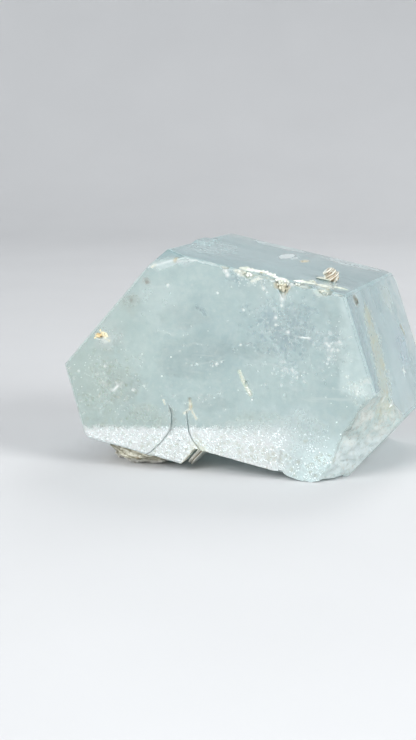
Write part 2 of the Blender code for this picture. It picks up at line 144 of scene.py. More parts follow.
# The break at the lower right: a point on it and its outward direction
BREAK_PLACE = (30.2, 0, 17.2)
BREAK_FACING = (0.769, -0.427, -0.476)

# Camera, from the photograph's perspective; azimuth and elevation in degrees, lens in mm
CAMERA_PLACE = Vector((89.2, -301.8, 69.8)) * MM
CAMERA_AZIMUTH = 18.2
CAMERA_ELEVATION = 9.5
CAMERA_LENS = 75.5


def at(x, depth, z):
    """The point at this x, depth behind the front end and z, all in millimetres."""
    return Vector((x * MM, FRONT + depth * MM, z * MM))


def strokes(*paths):
    """Straight strokes as (start, end, radius), from paths given as a radius and then their points.

    A point is x, depth, z, or only x, z on the front end, in mm. A path of one point is a dot.
    """
    made = []
    for radius, *points in paths:
        places = [point if len(point) == 3 else (point[0], 0, point[1]) for point in points]
        made += [(start, end, radius) for start, end in zip(places, places[1:] or places)]
    return made


# Marks on the crystal's surface
WHITE_DOTS = strokes(
    (0.45, (-10.75, 36.7)), (0.4, (-0.7, 35.5)), (0.5, (-0.9, 21.9)), (0.3, (-1.7, 21.4)),
    (0.35, (-4.9, 21.7)), (0.35, (0.1, 22.3)), (0.4, (-18.1, 15.8)), (0.4, (3.9, 25.8)),
    (0.35, (4.5, 32.5)), (0.32, (12.2, 21.2)), (0.3, (13.2, 21)), (0.35, (14.2, 21.3)), (0.3, (15, 20)),
    (0.4, (21.1, 23.9)), (0.34, (20.8, 23)), (0.45, (23.2, 27.2)), (0.4, (22.8, 25.7)),
    (0.45, (11.9, 33.6)), (0.5, (8.4, 36.7)), (0.3, (9, 36)), (0.5, (10.9, 31.3)), (0.4, (10.8, 29.9)),
    (0.45, (13.2, 28.6)), (0.75, (0.9, 39.8)), (0.6, (1.3, 39)), (0.35, (6.2, 15.3)), (0.5, (21.1, 26.4)),
    (0.4, (21.9, 25.8)), (0.34, (20.6, 26.9)), (0.3, (21.6, 26.9)), (0.28, (20.9, 25.6)),
    (0.4, (-24, 20.2)), (0.35, (-10.2, 22.8)), (0.4, (-29.5, 19)), (0.3, (-12.1, 18.9)),
    (0.45, (6.6, 38.2)), (0.5, (9.9, 38.5)), (0.5, (3.4, 39.2)),
)
FAINT_LINES = strokes(
    (0.3, (-12.9, 27.7), (-11.2, 27.6), (-9.6, 27)), (0.28, (-7.1, 25), (-5.3, 25.7), (-3.5, 25.4)),
    (0.3, (-18.3, 22.8), (-16.2, 20.5)), (0.3, (-25.1, 13.6), (-22.5, 13.2)),
    (0.28, (-7.6, 13.9), (-4.7, 14.2)), (0.26, (-4.7, 14.2), (-1.3, 15.2)),
    (0.25, (-1.3, 15.2), (-0.05, 17.2)), (0.26, (-10.4, 14.7), (-7, 16.6)),
    (0.25, (4.5, 22), (9.6, 22.4), (12, 21.9)), (0.25, (17.4, 24.6), (18, 21)),
    (0.3, (-23.6, 33), (-22.2, 31.9)), (0.22, (-5.4, 21.5), (1, 22.6)), (0.35, (10.5, 34.8), (10.9, 31)),
    (0.3, (13.2, 29.4), (16.8, 29.6)), (0.4, (19.3, 25.2), (20.6, 27.6)),
    (0.3, (-21.9, 9.6), (-20.6, 12.6)), (0.3, (-24.9, 10.4), (-24.2, 12.8)),
    (0.28, (12.7, 16.6), (12.7, 14.9)), (0.28, (15, 18.9), (14.8, 16.9)), (0.22, (14, 27.9), (15.4, 27.8)),
)
WHITE_LINES = strokes(
    (0.34, (30.4, 28.3, 17.4), (29.9, 26, 18.3)), (0.3, (30.5, 26.4, 16.9), (29.9, 27.8, 18.6)),
    (0.4, (-22.3, 15.4), (-21.2, 16.5)), (0.2, (15.4, 27.8), (17.6, 27.7)),
    # The two lines along the top front edge, from x -9 to 0.6, are a painted edge highlight.
    (0.4, (13.3, 37.3), (14.8, 38.2)), (0.75, (12.3, 35.7), (11.9, 34.9)), (0.2, (-9, 41.3), (-4, 41.8)),
    (0.3, (-4, 41.8), (0.6, 40.9)), (0.55, (31.6, 5.6, 14.2), (30.2, 7.4, 16.6)),
    (0.5, (31.8, 8.4, 13.6), (31.4, 10.4, 14.6)),
)
CREAM_LINES = strokes(
    (0.7, (4.1, 1.9, 40), (6.9, 3.2, 39.6)), (0.6, (6.9, 3.2, 39.6), (10.2, 2, 38.9)),
    (0.6, (13.8, 3.9, 38.1), (16.9, 6.6, 37.5)), (0.7, (17.8, 4.6, 37.3), (20.5, 6.3, 36.8)),
    (0.3, (20.1, 7.4, 36.8), (22.6, 7.7, 36.3)), (0.34, (-6.6, 12.5), (-7.6, 11.7)),
    (0.42, (-5.9, 12.4), (-5, 10.9)), (0.4, (-23.9, 25.8), (-22.9, 25.3)), (0.4, (-14, 40), (-13.4, 40.5)),
    (0.25, (-23.2, 26), (-22.9, 26.3)), (0.3, (-11.9, 14.2), (-11.5, 13.4)), (0.45, (6, 38), (8, 38.6)),
    (0.8, (2.8, 39.9), (5.2, 39.3)), (0.9, (27.5, 22, 30), (26, 33, 33)),
)
OLIVE_LINES = strokes(
    (0.5, (3.7, 20.6), (4.7, 18.3)), (0.55, (4.7, 18.3), (5.9, 16.3)), (0.5, (-6.3, 14.3), (-6.3, 13)),
)
TAN_LINES = strokes(
    (0.4, (-6.2, 13.4), (-6.4, 12.8)), (0.5, (-9.4, 41.5), (-9.1, 41.8)), (0.8, (11, 37.4), (12.6, 36.7)),
    (0.9, (27.8, 36.5, 25.5), (27.9, 37.3, 23.9)), (0.45, (19, 3.2, 37), (20.2, 3.4, 36.7)),
    (0.4, (13.4, 37), (12.6, 36)),
)
# The dark lines on the top face from x 13.9 to 17.2 and from x 20.4 to 22.3 are painted shadow along the
# top front edge, in front of the chips.
DARK_LINES = strokes(
    (0.5, (-15.1, 37.5), (-15, 37.1)), (0.55, (-18.4, 33.9), (-18.3, 33.5)),
    (0.36, (-24.7, 26), (-24.5, 25.95)), (0.4, (-6.3, 14.7), (-6.3, 14.2)),
    (0.35, (4.1, 3.8, 39.9), (8.9, 4.4, 39.2)), (0.28, (5.8, 16.6), (6, 16.2)),
    (0.4, (13.9, 1.4, 38), (17.2, 2.8, 37.4)), (0.4, (10.9, 38.1), (12.9, 37.7)),
    (1.1, (24.4, 6.2, 34.9), (24.8, 7.2, 33.7)), (0.34, (-8.8, 6.2)),
    (0.3, (20.4, 5.6, 36.7), (22.3, 6.2, 36.2)),
)
BLUE_LINES = strokes(
    (0.5, (12.6, 27.5), (14.2, 25.6)), (0.6, (8.6, 32.2), (9.6, 30.8)), (0.5, (13.4, 28.6), (14, 27.6)),
    (0.5, (9.8, 30), (11.6, 29.2)), (0.3, (10.4, 35), (10.6, 33.6)), (0.42, (16, 33.6), (17, 33.2)),
    (0.42, (17.2, 33.3), (18.4, 33.2)), (0.4, (12.7, 24.8), (12.9, 23.6)), (0.3, (7.4, 30.6), (8.2, 30.8)),
    (0.4, (-5, 33.3), (-4.8, 32.7)), (0.45, (-3.9, 32.2), (-3.3, 31.4)), (0.4, (1, 38.4), (3.4, 38.2)),
)
# The first dusky line is painted shadow along the top front edge, in front of the chips; the last two,
# along the left crack near x -10, are painted shade in the crack.
DUSKY_LINES = strokes(
    (0.5, (14.2, 2.6, 38), (18.6, 4.2, 37.2)), (0.5, (28.6, 16.4), (26.6, 13), (24.4, 9.6), (22.6, 4.9)),
    (0.5, (27.6, 14.6), (26.6, 12.6), (25.5, 10.8), (23.9, 9.2), (23.1, 7.2)),
    (0.45, (23.1, 7.2), (22.5, 4.4)), (0.35, (12, 5.9), (11.6, 3.3)), (0.6, (-10.2, 12.4), (-9.8, 10.2)),
    (0.75, (-9.8, 10.2), (-10.2, 8)),
)
STAIN_BELTS = strokes(
    (3.9, (26.3, 12, 29.3), (27.7, 11.4, 25.2)), (4.9, (27.7, 11.4, 25.2), (29.4, 9, 20)),
    (4.6, (29.4, 9, 20), (30.8, 7, 15.8)),
)
# Even spots and rough hazes as (middle, radii, amount, colour); blue zones as (middle, radii, amount)
SPOTS = (
    ((4.4, 31, 40), (1.15, 5, 1.5), 0.9, (0.95, 0.98, 0.99)),
    ((6.2, 30.6, 39.7), (0.6, 2.6, 1.2), 0.6, (0.9, 0.93, 0.94)),
    ((8.5, 30, 39.2), (0.75, 3, 1.2), 0.85, (0.86, 0.7, 0.46)),
    ((15.4, 4.4, 37.7), (2.2, 2.4, 1), 0.7, (0.66, 0.74, 0.68)),
    ((18.9, 5, 37), (1.7, 3.6, 1), 0.7, (0.76, 0.8, 0.72)),
    ((19.4, 0.8, 36.3), (1.7, 1.8, 0.9), 0.7, (0.84, 0.9, 0.82)),
    ((24.5, 6.6, 34.4), (1.5, 2.3, 1.4), 0.6, (0.86, 0.91, 0.89)),
    ((24.6, 6.8, 34.2), (1.2, 1.6, 0.95), 0.95, (0.3, 0.27, 0.2)),
    ((-25.1, 0, 26.25), (0.9, 2, 0.5), 1, (1, 0.86, 0.54)),
    ((-24.1, 0, 26.5), (0.7, 2, 0.45), 1, (1, 0.94, 0.66)),
    ((-23.7, 0, 25.4), (0.9, 2, 0.7), 0.8, (0.95, 0.98, 0.92)),
    # The next two spots, pale along the top face's back edge, are painted highlights.
    ((0, 42.5, 41), (8, 2.6, 2), 0.5, (0.86, 0.91, 0.93)),
    ((16, 41.5, 37.6), (9, 3, 2), 0.4, (0.86, 0.9, 0.91)),
    ((-8, 20, 42.6), (5, 12, 3), 0.3, (0.68, 0.78, 0.78)),
    ((31.4, 5, 14.8), (1.3, 1.8, 1.2), 0.7, (0.92, 0.88, 0.84)),
    ((31.2, 4.6, 15.2), (0.5, 0.6, 0.5), 0.7, (0.6, 0.4, 0.3)),
)
HAZES = (
    # The first haze paints the notch wall nearly white: painted light that lifts the shade it lies in.
    ((-5.3, 3, 3), (2.6, 8, 3.6), 1, (0.98, 1, 0.84)), ((-24, 1, 17), (7, 6, 7), 0.25, (0.52, 0.57, 0.47)),
    ((-14.5, 1, 11), (5, 6, 2.2), 0.35, (0.48, 0.52, 0.42)),
    ((7, 1, 11.6), (6, 6, 1.6), 0.25, (0.48, 0.54, 0.46)),
    ((-18.4, 0, 32.8), (1.7, 3, 2.4), 0.35, (0.46, 0.45, 0.38)),
    ((-15, 0, 37.3), (1.5, 3, 1.2), 0.4, (0.5, 0.4, 0.34)),
    ((-23, 0, 26.4), (3.2, 3, 2.8), 0.4, (0.74, 0.76, 0.74)),
    ((-10, 0, 41.4), (5.5, 4, 0.7), 0.4, (0.86, 0.92, 0.92)),
    ((-13, 0, 40.8), (4, 4, 1.2), 0.5, (0.88, 0.97, 0.95)),
    ((-13, 0, 34), (4.5, 4, 4.5), 0.3, (0.74, 0.82, 0.81)),
    ((27, 1, 18.2), (2.6, 3, 2.6), 0.3, (0.86, 0.94, 0.9)),
    ((21.8, 1, 26), (1.8, 3, 2.2), 0.35, (0.84, 0.9, 0.88)),
    ((16.5, 1, 10), (9, 4, 5.5), 0.35, (0.78, 0.87, 0.88)),
    ((17.2, 13.2, 37.2), (2, 2.4, 2), 0.6, (0.8, 0.85, 0.82)),
    ((25.4, 32, 32), (3, 5, 4), 0.5, (0.8, 0.85, 0.78)),
    ((28.6, 31, 22), (2, 6, 6), 0.4, (0.55, 0.64, 0.76)),
)
BLUE_ZONES = (
    ((12, 0, 30), (5.5, 6, 5.6), 0.6), ((1.6, 0, 38), (3, 5, 1.8), 0.65),
    ((13.2, 0, 22), (2.6, 5, 2.2), 0.5), ((9.6, 0, 31.6), (2.4, 5, 2.4), 0.5),
    ((16.5, 0, 33.5), (4, 5, 2.6), 0.45), ((-4.3, 0, 32.5), (1.4, 5, 1.4), 0.5),
    ((21, 0, 28.5), (2, 5, 2.5), 0.35), ((3, 0, 27), (9, 5, 7), 0.26), ((19, 0, 24), (3.5, 5, 7), 0.22),
)
# Hairlines as (middle, spread, count, length, lean, amount)
HAIRS = (
    ((-14, 0, 25), (7, 0, 6), 18, 3.4, -0.3, 0.3), ((-20, 0, 14.5), (5, 0, 3.5), 18, 2.6, -0.1, 0.3),
    ((-3, 0, 15), (6, 0, 2), 16, 3, 0.25, 0.32), ((1, 0, 22.5), (7, 0, 2.6), 14, 4.2, 0.05, 0.28),
    ((11, 0, 30), (2.2, 0, 3.4), 14, 2.4, 1.5, 0.3), ((16, 0, 25), (5, 0, 5), 18, 2.6, 1.2, 0.28),
    ((18, 0, 33), (4, 0, 3), 12, 2, 0.4, 0.26), ((14, 0, 16), (8, 0, 3.5), 16, 2.2, 1.3, 0.26),
    ((-12.5, 0, 11), (6, 0, 1.6), 12, 2.2, 0.5, 0.32),
)
# Clouds of dots as (middle, spread, count, radius, amount, colour)
DOT_CLOUDS = (
    ((-23.5, 0, 16), (4, 0.1, 4), 110, 0.32, 0.38, (0.4, 0.42, 0.28)),
    ((-22.5, 0, 16), (5, 0.1, 4.5), 70, 0.32, 0.5, (0.93, 0.94, 0.88)),
    ((0, 0, 23), (11, 0.1, 8), 60, 0.28, 0.4, (0.93, 0.96, 0.94)),
    ((12, 0, 29), (3.4, 0.1, 4), 90, 0.3, 0.4, (0.84, 0.91, 0.93)),
    ((12, 0, 29.8), (3.4, 0.1, 3.4), 170, 0.3, 0.5, (0.26, 0.35, 0.42)),
    ((21.8, 0, 26), (1.8, 0.1, 3), 60, 0.28, 0.4, (0.34, 0.43, 0.46)),
    ((21.5, 0, 25), (2.2, 0.1, 3.4), 40, 0.32, 0.45, (0.95, 0.97, 0.94)),
    ((13.5, 0, 21), (2.5, 0.1, 1.2), 24, 0.34, 0.7, (0.95, 0.97, 0.96)),
    ((6.8, 0, 37.6), (2.4, 0.1, 0.6), 24, 0.28, 0.4, (0.88, 0.93, 0.86)),
    ((6, 0, 36), (4.2, 0.1, 1.2), 14, 0.28, 0.25, (0.78, 0.88, 0.9)),
    ((-4, 0, 13.5), (7, 0.1, 2.2), 50, 0.28, 0.4, (0.9, 0.93, 0.88)),
    ((26.5, 0, 18.5), (2, 0.1, 2), 40, 0.34, 0.45, (0.93, 0.93, 0.84)),
    ((18, 0, 3.6), (5.5, 0.1, 1.6), 60, 0.42, 0.5, (0.5, 0.5, 0.36)),
    ((-14, 0, 5), (7, 0.1, 1.6), 60, 0.4, 0.45, (0.52, 0.55, 0.42)),
    ((3, 0, 5.6), (6, 0.1, 1.4), 70, 0.4, 0.45, (0.54, 0.56, 0.42)),
    ((28, 10, 24), (2, 2, 6), 60, 0.36, 0.4, (0.6, 0.48, 0.34)),
)


# ---------------------------------------------------------------- meshes


def new_piece(name, bm, material, smooth_angle=None):
    """Turns a bmesh into a piece that rides on the crystal's body, with its material and any slot."""
    mesh = bpy.data.meshes.new(name)
    bm.to_mesh(mesh)
    bm.free()
    mesh.materials.append(material)
    if smooth_angle is not None:
        mesh.shade_smooth()
        mesh.set_sharp_from_angle(angle=math.radians(smooth_angle))
    made = bpy.data.objects.new(name, mesh)
    bpy.context.scene.collection.objects.link(made)
    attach(made, "root")
    return made


def split_long_edges(bm, steps):
    """Puts points along every edge longer than its faces' finest step, without cutting the faces."""
    cuts = {}
    for edge in bm.edges:
        step = min(steps[face] for face in edge.link_faces)
        count = int(edge.calc_length() / step)
        if count > 0:
            cuts.setdefault(count, []).append(edge)
    for count, edges in cuts.items():
        bmesh.ops.bisect_edges(bm, edges=edges, cuts=count)


def grid_inside(outline, step):
    """Points of a triangular grid inside a flat outline, clear of its edges."""
    ends = np.roll(outline, -1, axis=0)
    low, high = outline.min(0), outline.max(0)
    rows = np.arange(low[1] + step / 2, high[1], step * math.sqrt(0.75))
    columns = np.arange(low[0] + step / 2, high[0], step)
    if not len(rows) or not len(columns):
        return np.zeros((0, 2))
    points = np.array([(x + (i % 2) * step / 2, y) for i, y in enumerate(rows) for x in columns])
    inside = np.zeros(len(points), bool)
    clear = np.full(len(points), np.inf)
    for a, b in zip(outline, ends):
        span = b - a
        crosses = (a[1] > points[:, 1]) != (b[1] > points[:, 1])
        if crosses.any():
            x_there = a[0] + (points[:, 1] - a[1]) * span[0] / (span[1] if span[1] else 1e-12)
            inside ^= crosses & (points[:, 0] < x_there)
        share = np.clip(((points - a) @ span) / max(span @ span, 1e-12), 0, 1)
        clear = np.minimum(clear, np.linalg.norm(points - a - share[:, None] * span, axis=1))
    return points[inside & (clear > 0.45 * step)]


def fill_face(bm, face, step):
    """Replaces a flat face by even triangles that keep its outline, or leaves it where that fails."""
    corners = list(face.verts)
    normal = face.normal
    across = (corners[1].co - corners[0].co).normalized()
    up = normal.cross(across)
    origin = corners[0].co
    outline = np.array([((v.co - origin).dot(across), (v.co - origin).dot(up)) for v in corners]) / MM
    extra = grid_inside(outline, step)
    flat = [Vector(point) for point in (*outline, *extra)]
    count = len(corners)
    made = geometry.delaunay_2d_cdt(flat, [], [list(range(count))], 1, 1e-7)
    places, _, triangles, sources = made[:4]
    kept = [next((s for s in source if s < count), None) for source in sources]
    if sorted(k for k in kept if k is not None) != list(range(count)) or not all(sources):
        return
    points = []
    for place, k in zip(places, kept):
        if k is None:
            points.append(bm.verts.new(origin + (across * place.x + up * place.y) * MM))
        else:
            points.append(corners[k])
    bm.faces.remove(face)
    for triangle in triangles:
        bm.faces.new([points[i] for i in triangle])


def fine_mesh(node, step_of):
    """A CAD node's surface with its edges kept, in even triangles as large as step_of(face) says, in mm."""
    bm = bmesh.new()
    bm.from_mesh(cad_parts[node].data)
    bmesh.ops.remove_doubles(bm, verts=bm.verts, dist=1e-7)
    bmesh.ops.dissolve_limit(bm, angle_limit=math.radians(0.3), verts=bm.verts, edges=bm.edges)
    bm.normal_update()
    steps = {face: step_of(face) for face in bm.faces}
    split_long_edges(bm, {face: step * MM for face, step in steps.items()})
    for face in list(bm.faces):
        if len(face.verts) > 3:
            fill_face(bm, face, steps[face])
    bmesh.ops.triangulate(bm, faces=[face for face in bm.faces if len(face.verts) > 3])
    bm.normal_update()
    return bm


def crystal_step(face):
    """Fine where the marks are: the front end, then the top and the right face."""
    if face.normal.y < -0.95:
        return FRONT_STEP
    return FINE_STEP if face.normal.z > 0.9 or face.normal.x > 0.9 else COARSE_STEP


def edge_turn(vertex):
    """How far the faces around a point turn, in degrees."""
    normals = [face.normal for face in vertex.link_faces]
    worst = min((a.dot(b) for a in normals for b in normals), default=1)
    return math.degrees(math.acos(max(-1.0, min(1.0, worst))))


def recess(places):
    """How far inside the whole prism points lie, in millimetres. places is one point a row."""
    depths = [places[:, 1], DEPTH - places[:, 1]]
    for angle, distance in PRISM_FACES:
        turned = math.radians(angle + TURN)
        across = places[:, 0] * math.cos(turned) + (places[:, 2] - AXIS_HEIGHT) * math.sin(turned)
        depths.append(distance - across)
    return np.min(depths, axis=0)


def crack_distance(place):
    """The distance to the nearest crack in the front end, across the end, in millimetres."""
    point = Vector((place[0], place[2]))
    closest = 99.0
    for crack in CRACKS:
        for start, end in zip(crack, crack[1:]):
            foot, share = geometry.intersect_point_line(point, Vector(start), Vector(end))
            foot = Vector(start) if share < 0 else Vector(end) if share > 1 else foot
            closest = min(closest, (point - foot).length)
    return closest


def crystal_relief(place, turn, inside):
    """How far the crystal's surface is rubbed away or grown inwards here, in millimetres."""
    x, depth, z = place
    rough = x > -2 or z < 20
    waves = 0.02 * (1 + noise.noise(place / 7))
    if inside < 0.1:
        waves += 0.012 * (1 + noise.noise(Vector((x * 0.02, depth * 0.3, z * 0.02))))
    elif rough:
        waves += 0.07 * (1 + noise.fractal(place * 1.1, 0.7, 2.0, 4))
    if turn > 20 and (inside < 0.15 or rough) and (depth < 12 or x > -6 or z < 30):
        nick = noise.fractal(place / 2.2, 0.6, 2.1, 4)
        waves += 0.02 + 0.28 * max(0.0, nick - 0.18)
    return waves


def near_line(places, start, end, radius):
    """1 on a straight line, 0 at this radius around it, below 0 further out."""
    start, end = np.array(start, float), np.array(end, float)
    span = end - start
    share = np.clip((places - start) @ span / max(span @ span, 1e-9), 0, 1)
    return 1 - np.linalg.norm(places - start - share[:, None] * span, axis=1) / radius


def nearest(places, lines):
    """The largest nearness to any of these lines; a dot is a line that ends where it starts."""
    return np.max([near_line(places, *line) for line in lines], axis=0)


def egg_distance(places, middle, radii):
    """How far points lie from an egg's middle, as a share of its radii."""
    return np.linalg.norm((places - np.array(middle)) / np.array(radii), axis=1)


def soft_step(values, low, high):
    """0 below low, 1 above high, smooth between; low may be above high."""
    share = np.clip((values - low) / (high - low), 0, 1)
    return share * share * (3 - 2 * share)


def noise_of(places, scale, octaves=4, shift=0.0):
    """Fractal noise around 0 at each point; scale is in features per millimetre."""
    offset = Vector((shift, shift * 0.7, shift * 1.3))
    return np.array([noise.fractal(Vector(p) * scale + offset, 0.7, 2.0, octaves) for p in places])


def shifted(places, scale, amount):
    """The points, each moved by noise of this scale and amount, in millimetres."""
    return places + amount * np.array([noise.noise_vector(Vector(p) * scale) for p in places])


def hairs(chance, middle, spread, count, length, lean):
    """Faint curved hairlines on the front end around a middle, as short straight pieces."""
    pieces = []
    for _ in range(count):
        place = chance.normal(middle, spread)
        angle = lean + chance.normal(0, 0.5)
        bend = chance.normal(0, 0.35)
        step = length * chance.uniform(0.5, 1.2) / 4
        for _ in range(4):
            ahead = place + step * np.array((math.cos(angle), 0, math.sin(angle)))
            pieces.append((tuple(place), tuple(ahead), 0.32))
            place, angle = ahead, angle + bend
    return pieces


class Paint:
    """The paint on each point: its colour times its cover, and its cover."""

    def __init__(self, count):
        self.colour = np.zeros((count, 3))
        self.cover = np.zeros(count)

    def add(self, amount, colour):
        amount = np.clip(amount, 0, 1)
        self.colour = self.colour * (1 - amount[:, None]) + np.array(colour) * amount[:, None]
        self.cover = self.cover * (1 - amount) + amount


def paint_marks(places, normals, hollow, crack):
    """The wisps, specks, chips and stains on the crystal, with painted shade in the cracks and along the
    top front edge, painted highlights, and painted light on the notch wall, for points given one a row in
    millimetres.
    """
    chance = np.random.default_rng(5)
    paint = Paint(len(places))
    front = normals[:, 1] < -0.8
    fine = shifted(places, 0.7, 0.18)
    loose = shifted(places, 0.3, 1.5)
    grain = noise_of(places, 1.1, 4)
    coarse = noise_of(places, 0.35, 5, 20.0)

    def rough(lines, amount, colour, roughness=0.5):
        paint.add(amount * soft_step(nearest(fine, lines) + roughness * grain, 0.0, 0.6), colour)

    for middle, radii, amount, colour in HAZES:
        away = egg_distance(loose, middle, radii)
        paint.add(amount * soft_step(away + 0.4 * coarse, 1.3, 0.4), colour)
    ink = 0.35 + 0.65 * soft_step(coarse + 0.5 * grain, -0.4, 0.6)
    for middle, radii, amount in BLUE_ZONES:
        zone = soft_step(egg_distance(loose, middle, radii), 1.4, 0.2)
        paint.add(0.8 * amount * zone * ink * front, (0.34, 0.455, 0.50))
    for middle, radii, amount, colour in SPOTS:
        away = egg_distance(places, middle, radii)
        paint.add(amount * soft_step(away + 0.12 * grain, 1.15, 0.75), colour)
    for middle, spread, count, length, lean, amount in HAIRS:
        pieces = hairs(chance, middle, spread, count, length, lean)
        hair = soft_step(nearest(fine, pieces) + 0.4 * grain - 0.15, 0.0, 0.9)
        paint.add(front * 0.7 * amount * hair, (0.86, 0.92, 0.90))
    for middle, spread, count, radius, amount, colour in DOT_CLOUDS:
        spots = chance.normal(middle, spread, (count, 3))
        dots = [(spot, spot, radius * chance.uniform(0.7, 1.6)) for spot in spots]
        paint.add(amount * soft_step(nearest(fine, dots), 0.0, 0.7), colour)
    belt = soft_step(nearest(loose, STAIN_BELTS) + 0.4 * grain, -0.1, 0.65) * (normals[:, 0] > 0.8)
    paint.add(belt * (0.55 + 0.4 * soft_step(coarse, -0.1, 0.3)), (0.68, 0.69, 0.52))
    paint.add(belt * 0.4 * soft_step(grain, 0.25, 0.5), (0.50, 0.40, 0.28))
    rough(FAINT_LINES, 0.3, (0.84, 0.91, 0.89))
    rough(BLUE_LINES, 0.45, (0.26, 0.36, 0.40))
    rough(DUSKY_LINES, 0.5, (0.34, 0.36, 0.33))
    x, depth, z = places.T
    chipped = soft_step(hollow, 0.12, 0.35) * (z > 34) * (x > -1.5) * (depth < 9)
    tone = soft_step(grain + coarse, -0.3, 0.4)
    paint.add(chipped * 0.85, (0.62, 0.67, 0.57))
    paint.add(chipped * 0.8 * tone, (0.88, 0.92, 0.86))
    paint.add(chipped * 0.5 * soft_step(coarse - 0.5 * grain, 0.1, 0.35), (0.50, 0.46, 0.34))
    rough(WHITE_LINES, 0.85, (0.95, 0.97, 0.94), 0.35)
    rough(WHITE_DOTS, 0.85, (0.96, 0.98, 0.95), 0.25)
    rough(CREAM_LINES, 0.85, (0.90, 0.90, 0.78), 0.4)
    rough(OLIVE_LINES, 0.9, (0.86, 0.89, 0.68), 0.25)
    rough(TAN_LINES, 0.8, (0.60, 0.50, 0.30), 0.4)
    rough(DARK_LINES, 0.7, (0.25, 0.23, 0.18), 0.4)
    # Cracks painted darker with their depth: painted shade in the cracks.
    paint.add(0.5 * soft_step(crack, 0.1, 0.6) * (0.8 + 0.6 * grain), (0.26, 0.30, 0.29))
    return paint


def fine_crystal():
    """The crystal with rubbed edges and rough breaks, where each point notes its edge wear and painted edge
    highlight, and its paint.
    """
    bm = fine_mesh("aquamarine_crystal", crystal_step)
    layer = bm.verts.layers.float_color.new("marks")
    edge_wear_and_highlight = bm.verts.layers.float.new("edge_wear_and_highlight")
    points = list(bm.verts)
    places = np.array([(v.co.x, v.co.y - FRONT, v.co.z) for v in points]) / MM
    normals = np.array([v.normal for v in points])
    inside = recess(places)
    turns = np.array([edge_turn(v) for v in points])
    cracks = np.zeros(len(points))
    near = (places[:, 1] > 0.05) & (places[:, 1] < CRACK_DEPTH) & (places[:, 2] < CRACK_TOP)
    for index in np.flatnonzero(near):
        if crack_distance(places[index]) < CRACK_REACH:
            cracks[index] = min(1.0, places[index, 1] / CRACK_SHADE)
    paint = paint_marks(places, normals, inside, cracks)
    for index, vertex in enumerate(points):
        vertex[layer] = (*paint.colour[index], paint.cover[index])
        # The edge mask: rougher edges, and a painted edge highlight in the material.
        vertex[edge_wear_and_highlight] = min(1.0, turns[index] / 30) if inside[index] < 0.15 else 0.0
        if cracks[index]:
            vertex.co.y -= CRACK_FILL * places[index, 1] * MM
        elif places[index, 2] > 0.02:
            relief = crystal_relief(Vector(places[index]), turns[index], inside[index])
            vertex.co -= Vector(normals[index]) * relief * MM
        vertex.co.z = max(vertex.co.z, 0.0)
    made = new_piece("crystal_surface", bm, aquamarine(), 24)
    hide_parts("aquamarine_crystal")


def lump(bm, middle, radii, turn, seed, detail=1):
    """A small closed irregular lump."""
    made = bmesh.ops.create_icosphere(bm, subdivisions=detail, radius=1.0)
    for vertex in made["verts"]:
        rough = 1 + 0.35 * noise.noise(vertex.co * 1.3 + Vector((seed * 3.7, 0, 0)))
        shaped = Vector([c * r for c, r in zip(vertex.co * rough, radii)])
        shaped.rotate(turn)
        vertex.co = middle + shaped * MM
    return made["verts"]


def random_turn(chance):
    return Euler(chance.uniform(0, math.tau, 3)).to_quaternion()


def solid_tree():
    """The crystal's own surface, to tell what lies inside it."""
    bm = bmesh.new()
    bm.from_mesh(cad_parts["aquamarine_crystal"].data)
    tree = BVHTree.FromBMesh(bm)
    bm.free()
    return tree


def is_inside(tree, point):
    """Whether a point is inside the crystal: a ray from it crosses the surface an odd number of times."""
    ray = Vector((0.31, 0.87, 0.38)).normalized()
    crossings = 0
    hit = tree.ray_cast(point, ray)[0]
    while hit:
        crossings += 1
        hit = tree.ray_cast(hit + ray * 1e-7, ray)[0]
    return crossings % 2 == 1


def room(tree, place):
    """How far inside the crystal a place is, in millimetres; below 0 outside."""
    point = at(*place)
    distance = tree.find_nearest(point)[3] / MM
    return distance if is_inside(tree, point) else -distance


def sliver(bm, tree, start, end, radius, cover, seed):
    """A thin sliver in the crystal's skin along a line, this far under the surface in mm.

    The side that would stand out is pressed flat. A sliver that would leave the crystal is dropped.
    """
    start, end = Vector(start), Vector(end)
    middle = (start + end) / 2
    half = (end - start).length / 2 + radius
    surface, normal, _, _ = tree.find_nearest(at(*middle))
    under = surface - normal * (radius + cover) * MM
    if start == end:
        turn = Euler((0, 0, seed)).to_quaternion()
    else:
        turn = (end - start).to_track_quat("X", "Z")
    verts = lump(bm, under, (half, radius, radius), turn, seed)
    for vertex in verts:
        proud = (vertex.co - surface).dot(normal) + SKIN * MM
        vertex.co -= normal * max(0.0, proud)
    if not all(is_inside(tree, vertex.co) for vertex in verts):
        bmesh.ops.delete(bm, geom=verts, context="VERTS")


def wall_crumbs(bm, tree, chance, start, end, spread, count, radius):
    """Crumbs stuck to the surface nearest to a line, as wide as spread across it."""
    for _ in range(count):
        place = Vector(start).lerp(Vector(end), chance.uniform()) + Vector(chance.normal(0, spread, 3))
        size = radius * chance.uniform(0.5, 1.2)
        sliver(bm, tree, place, place, size, -0.4 * size, int(chance.integers(900)))


def crumb_row(bm, tree, chance, start, end, radius):
    """Small crumbs along a line in the crystal's skin."""
    start, end = Vector(start), Vector(end)
    count = 2 + int((end - start).length / (0.9 * radius))
    for step in range(count):
        place = start.lerp(end, step / (count - 1))
        place += Vector((chance.normal(0, 0.05), 0, chance.normal(0, 0.05)))
        size = radius * chance.uniform(0.3, 0.6)
        sliver(bm, tree, place, place, size, -0.5 * size, int(chance.integers(900)))


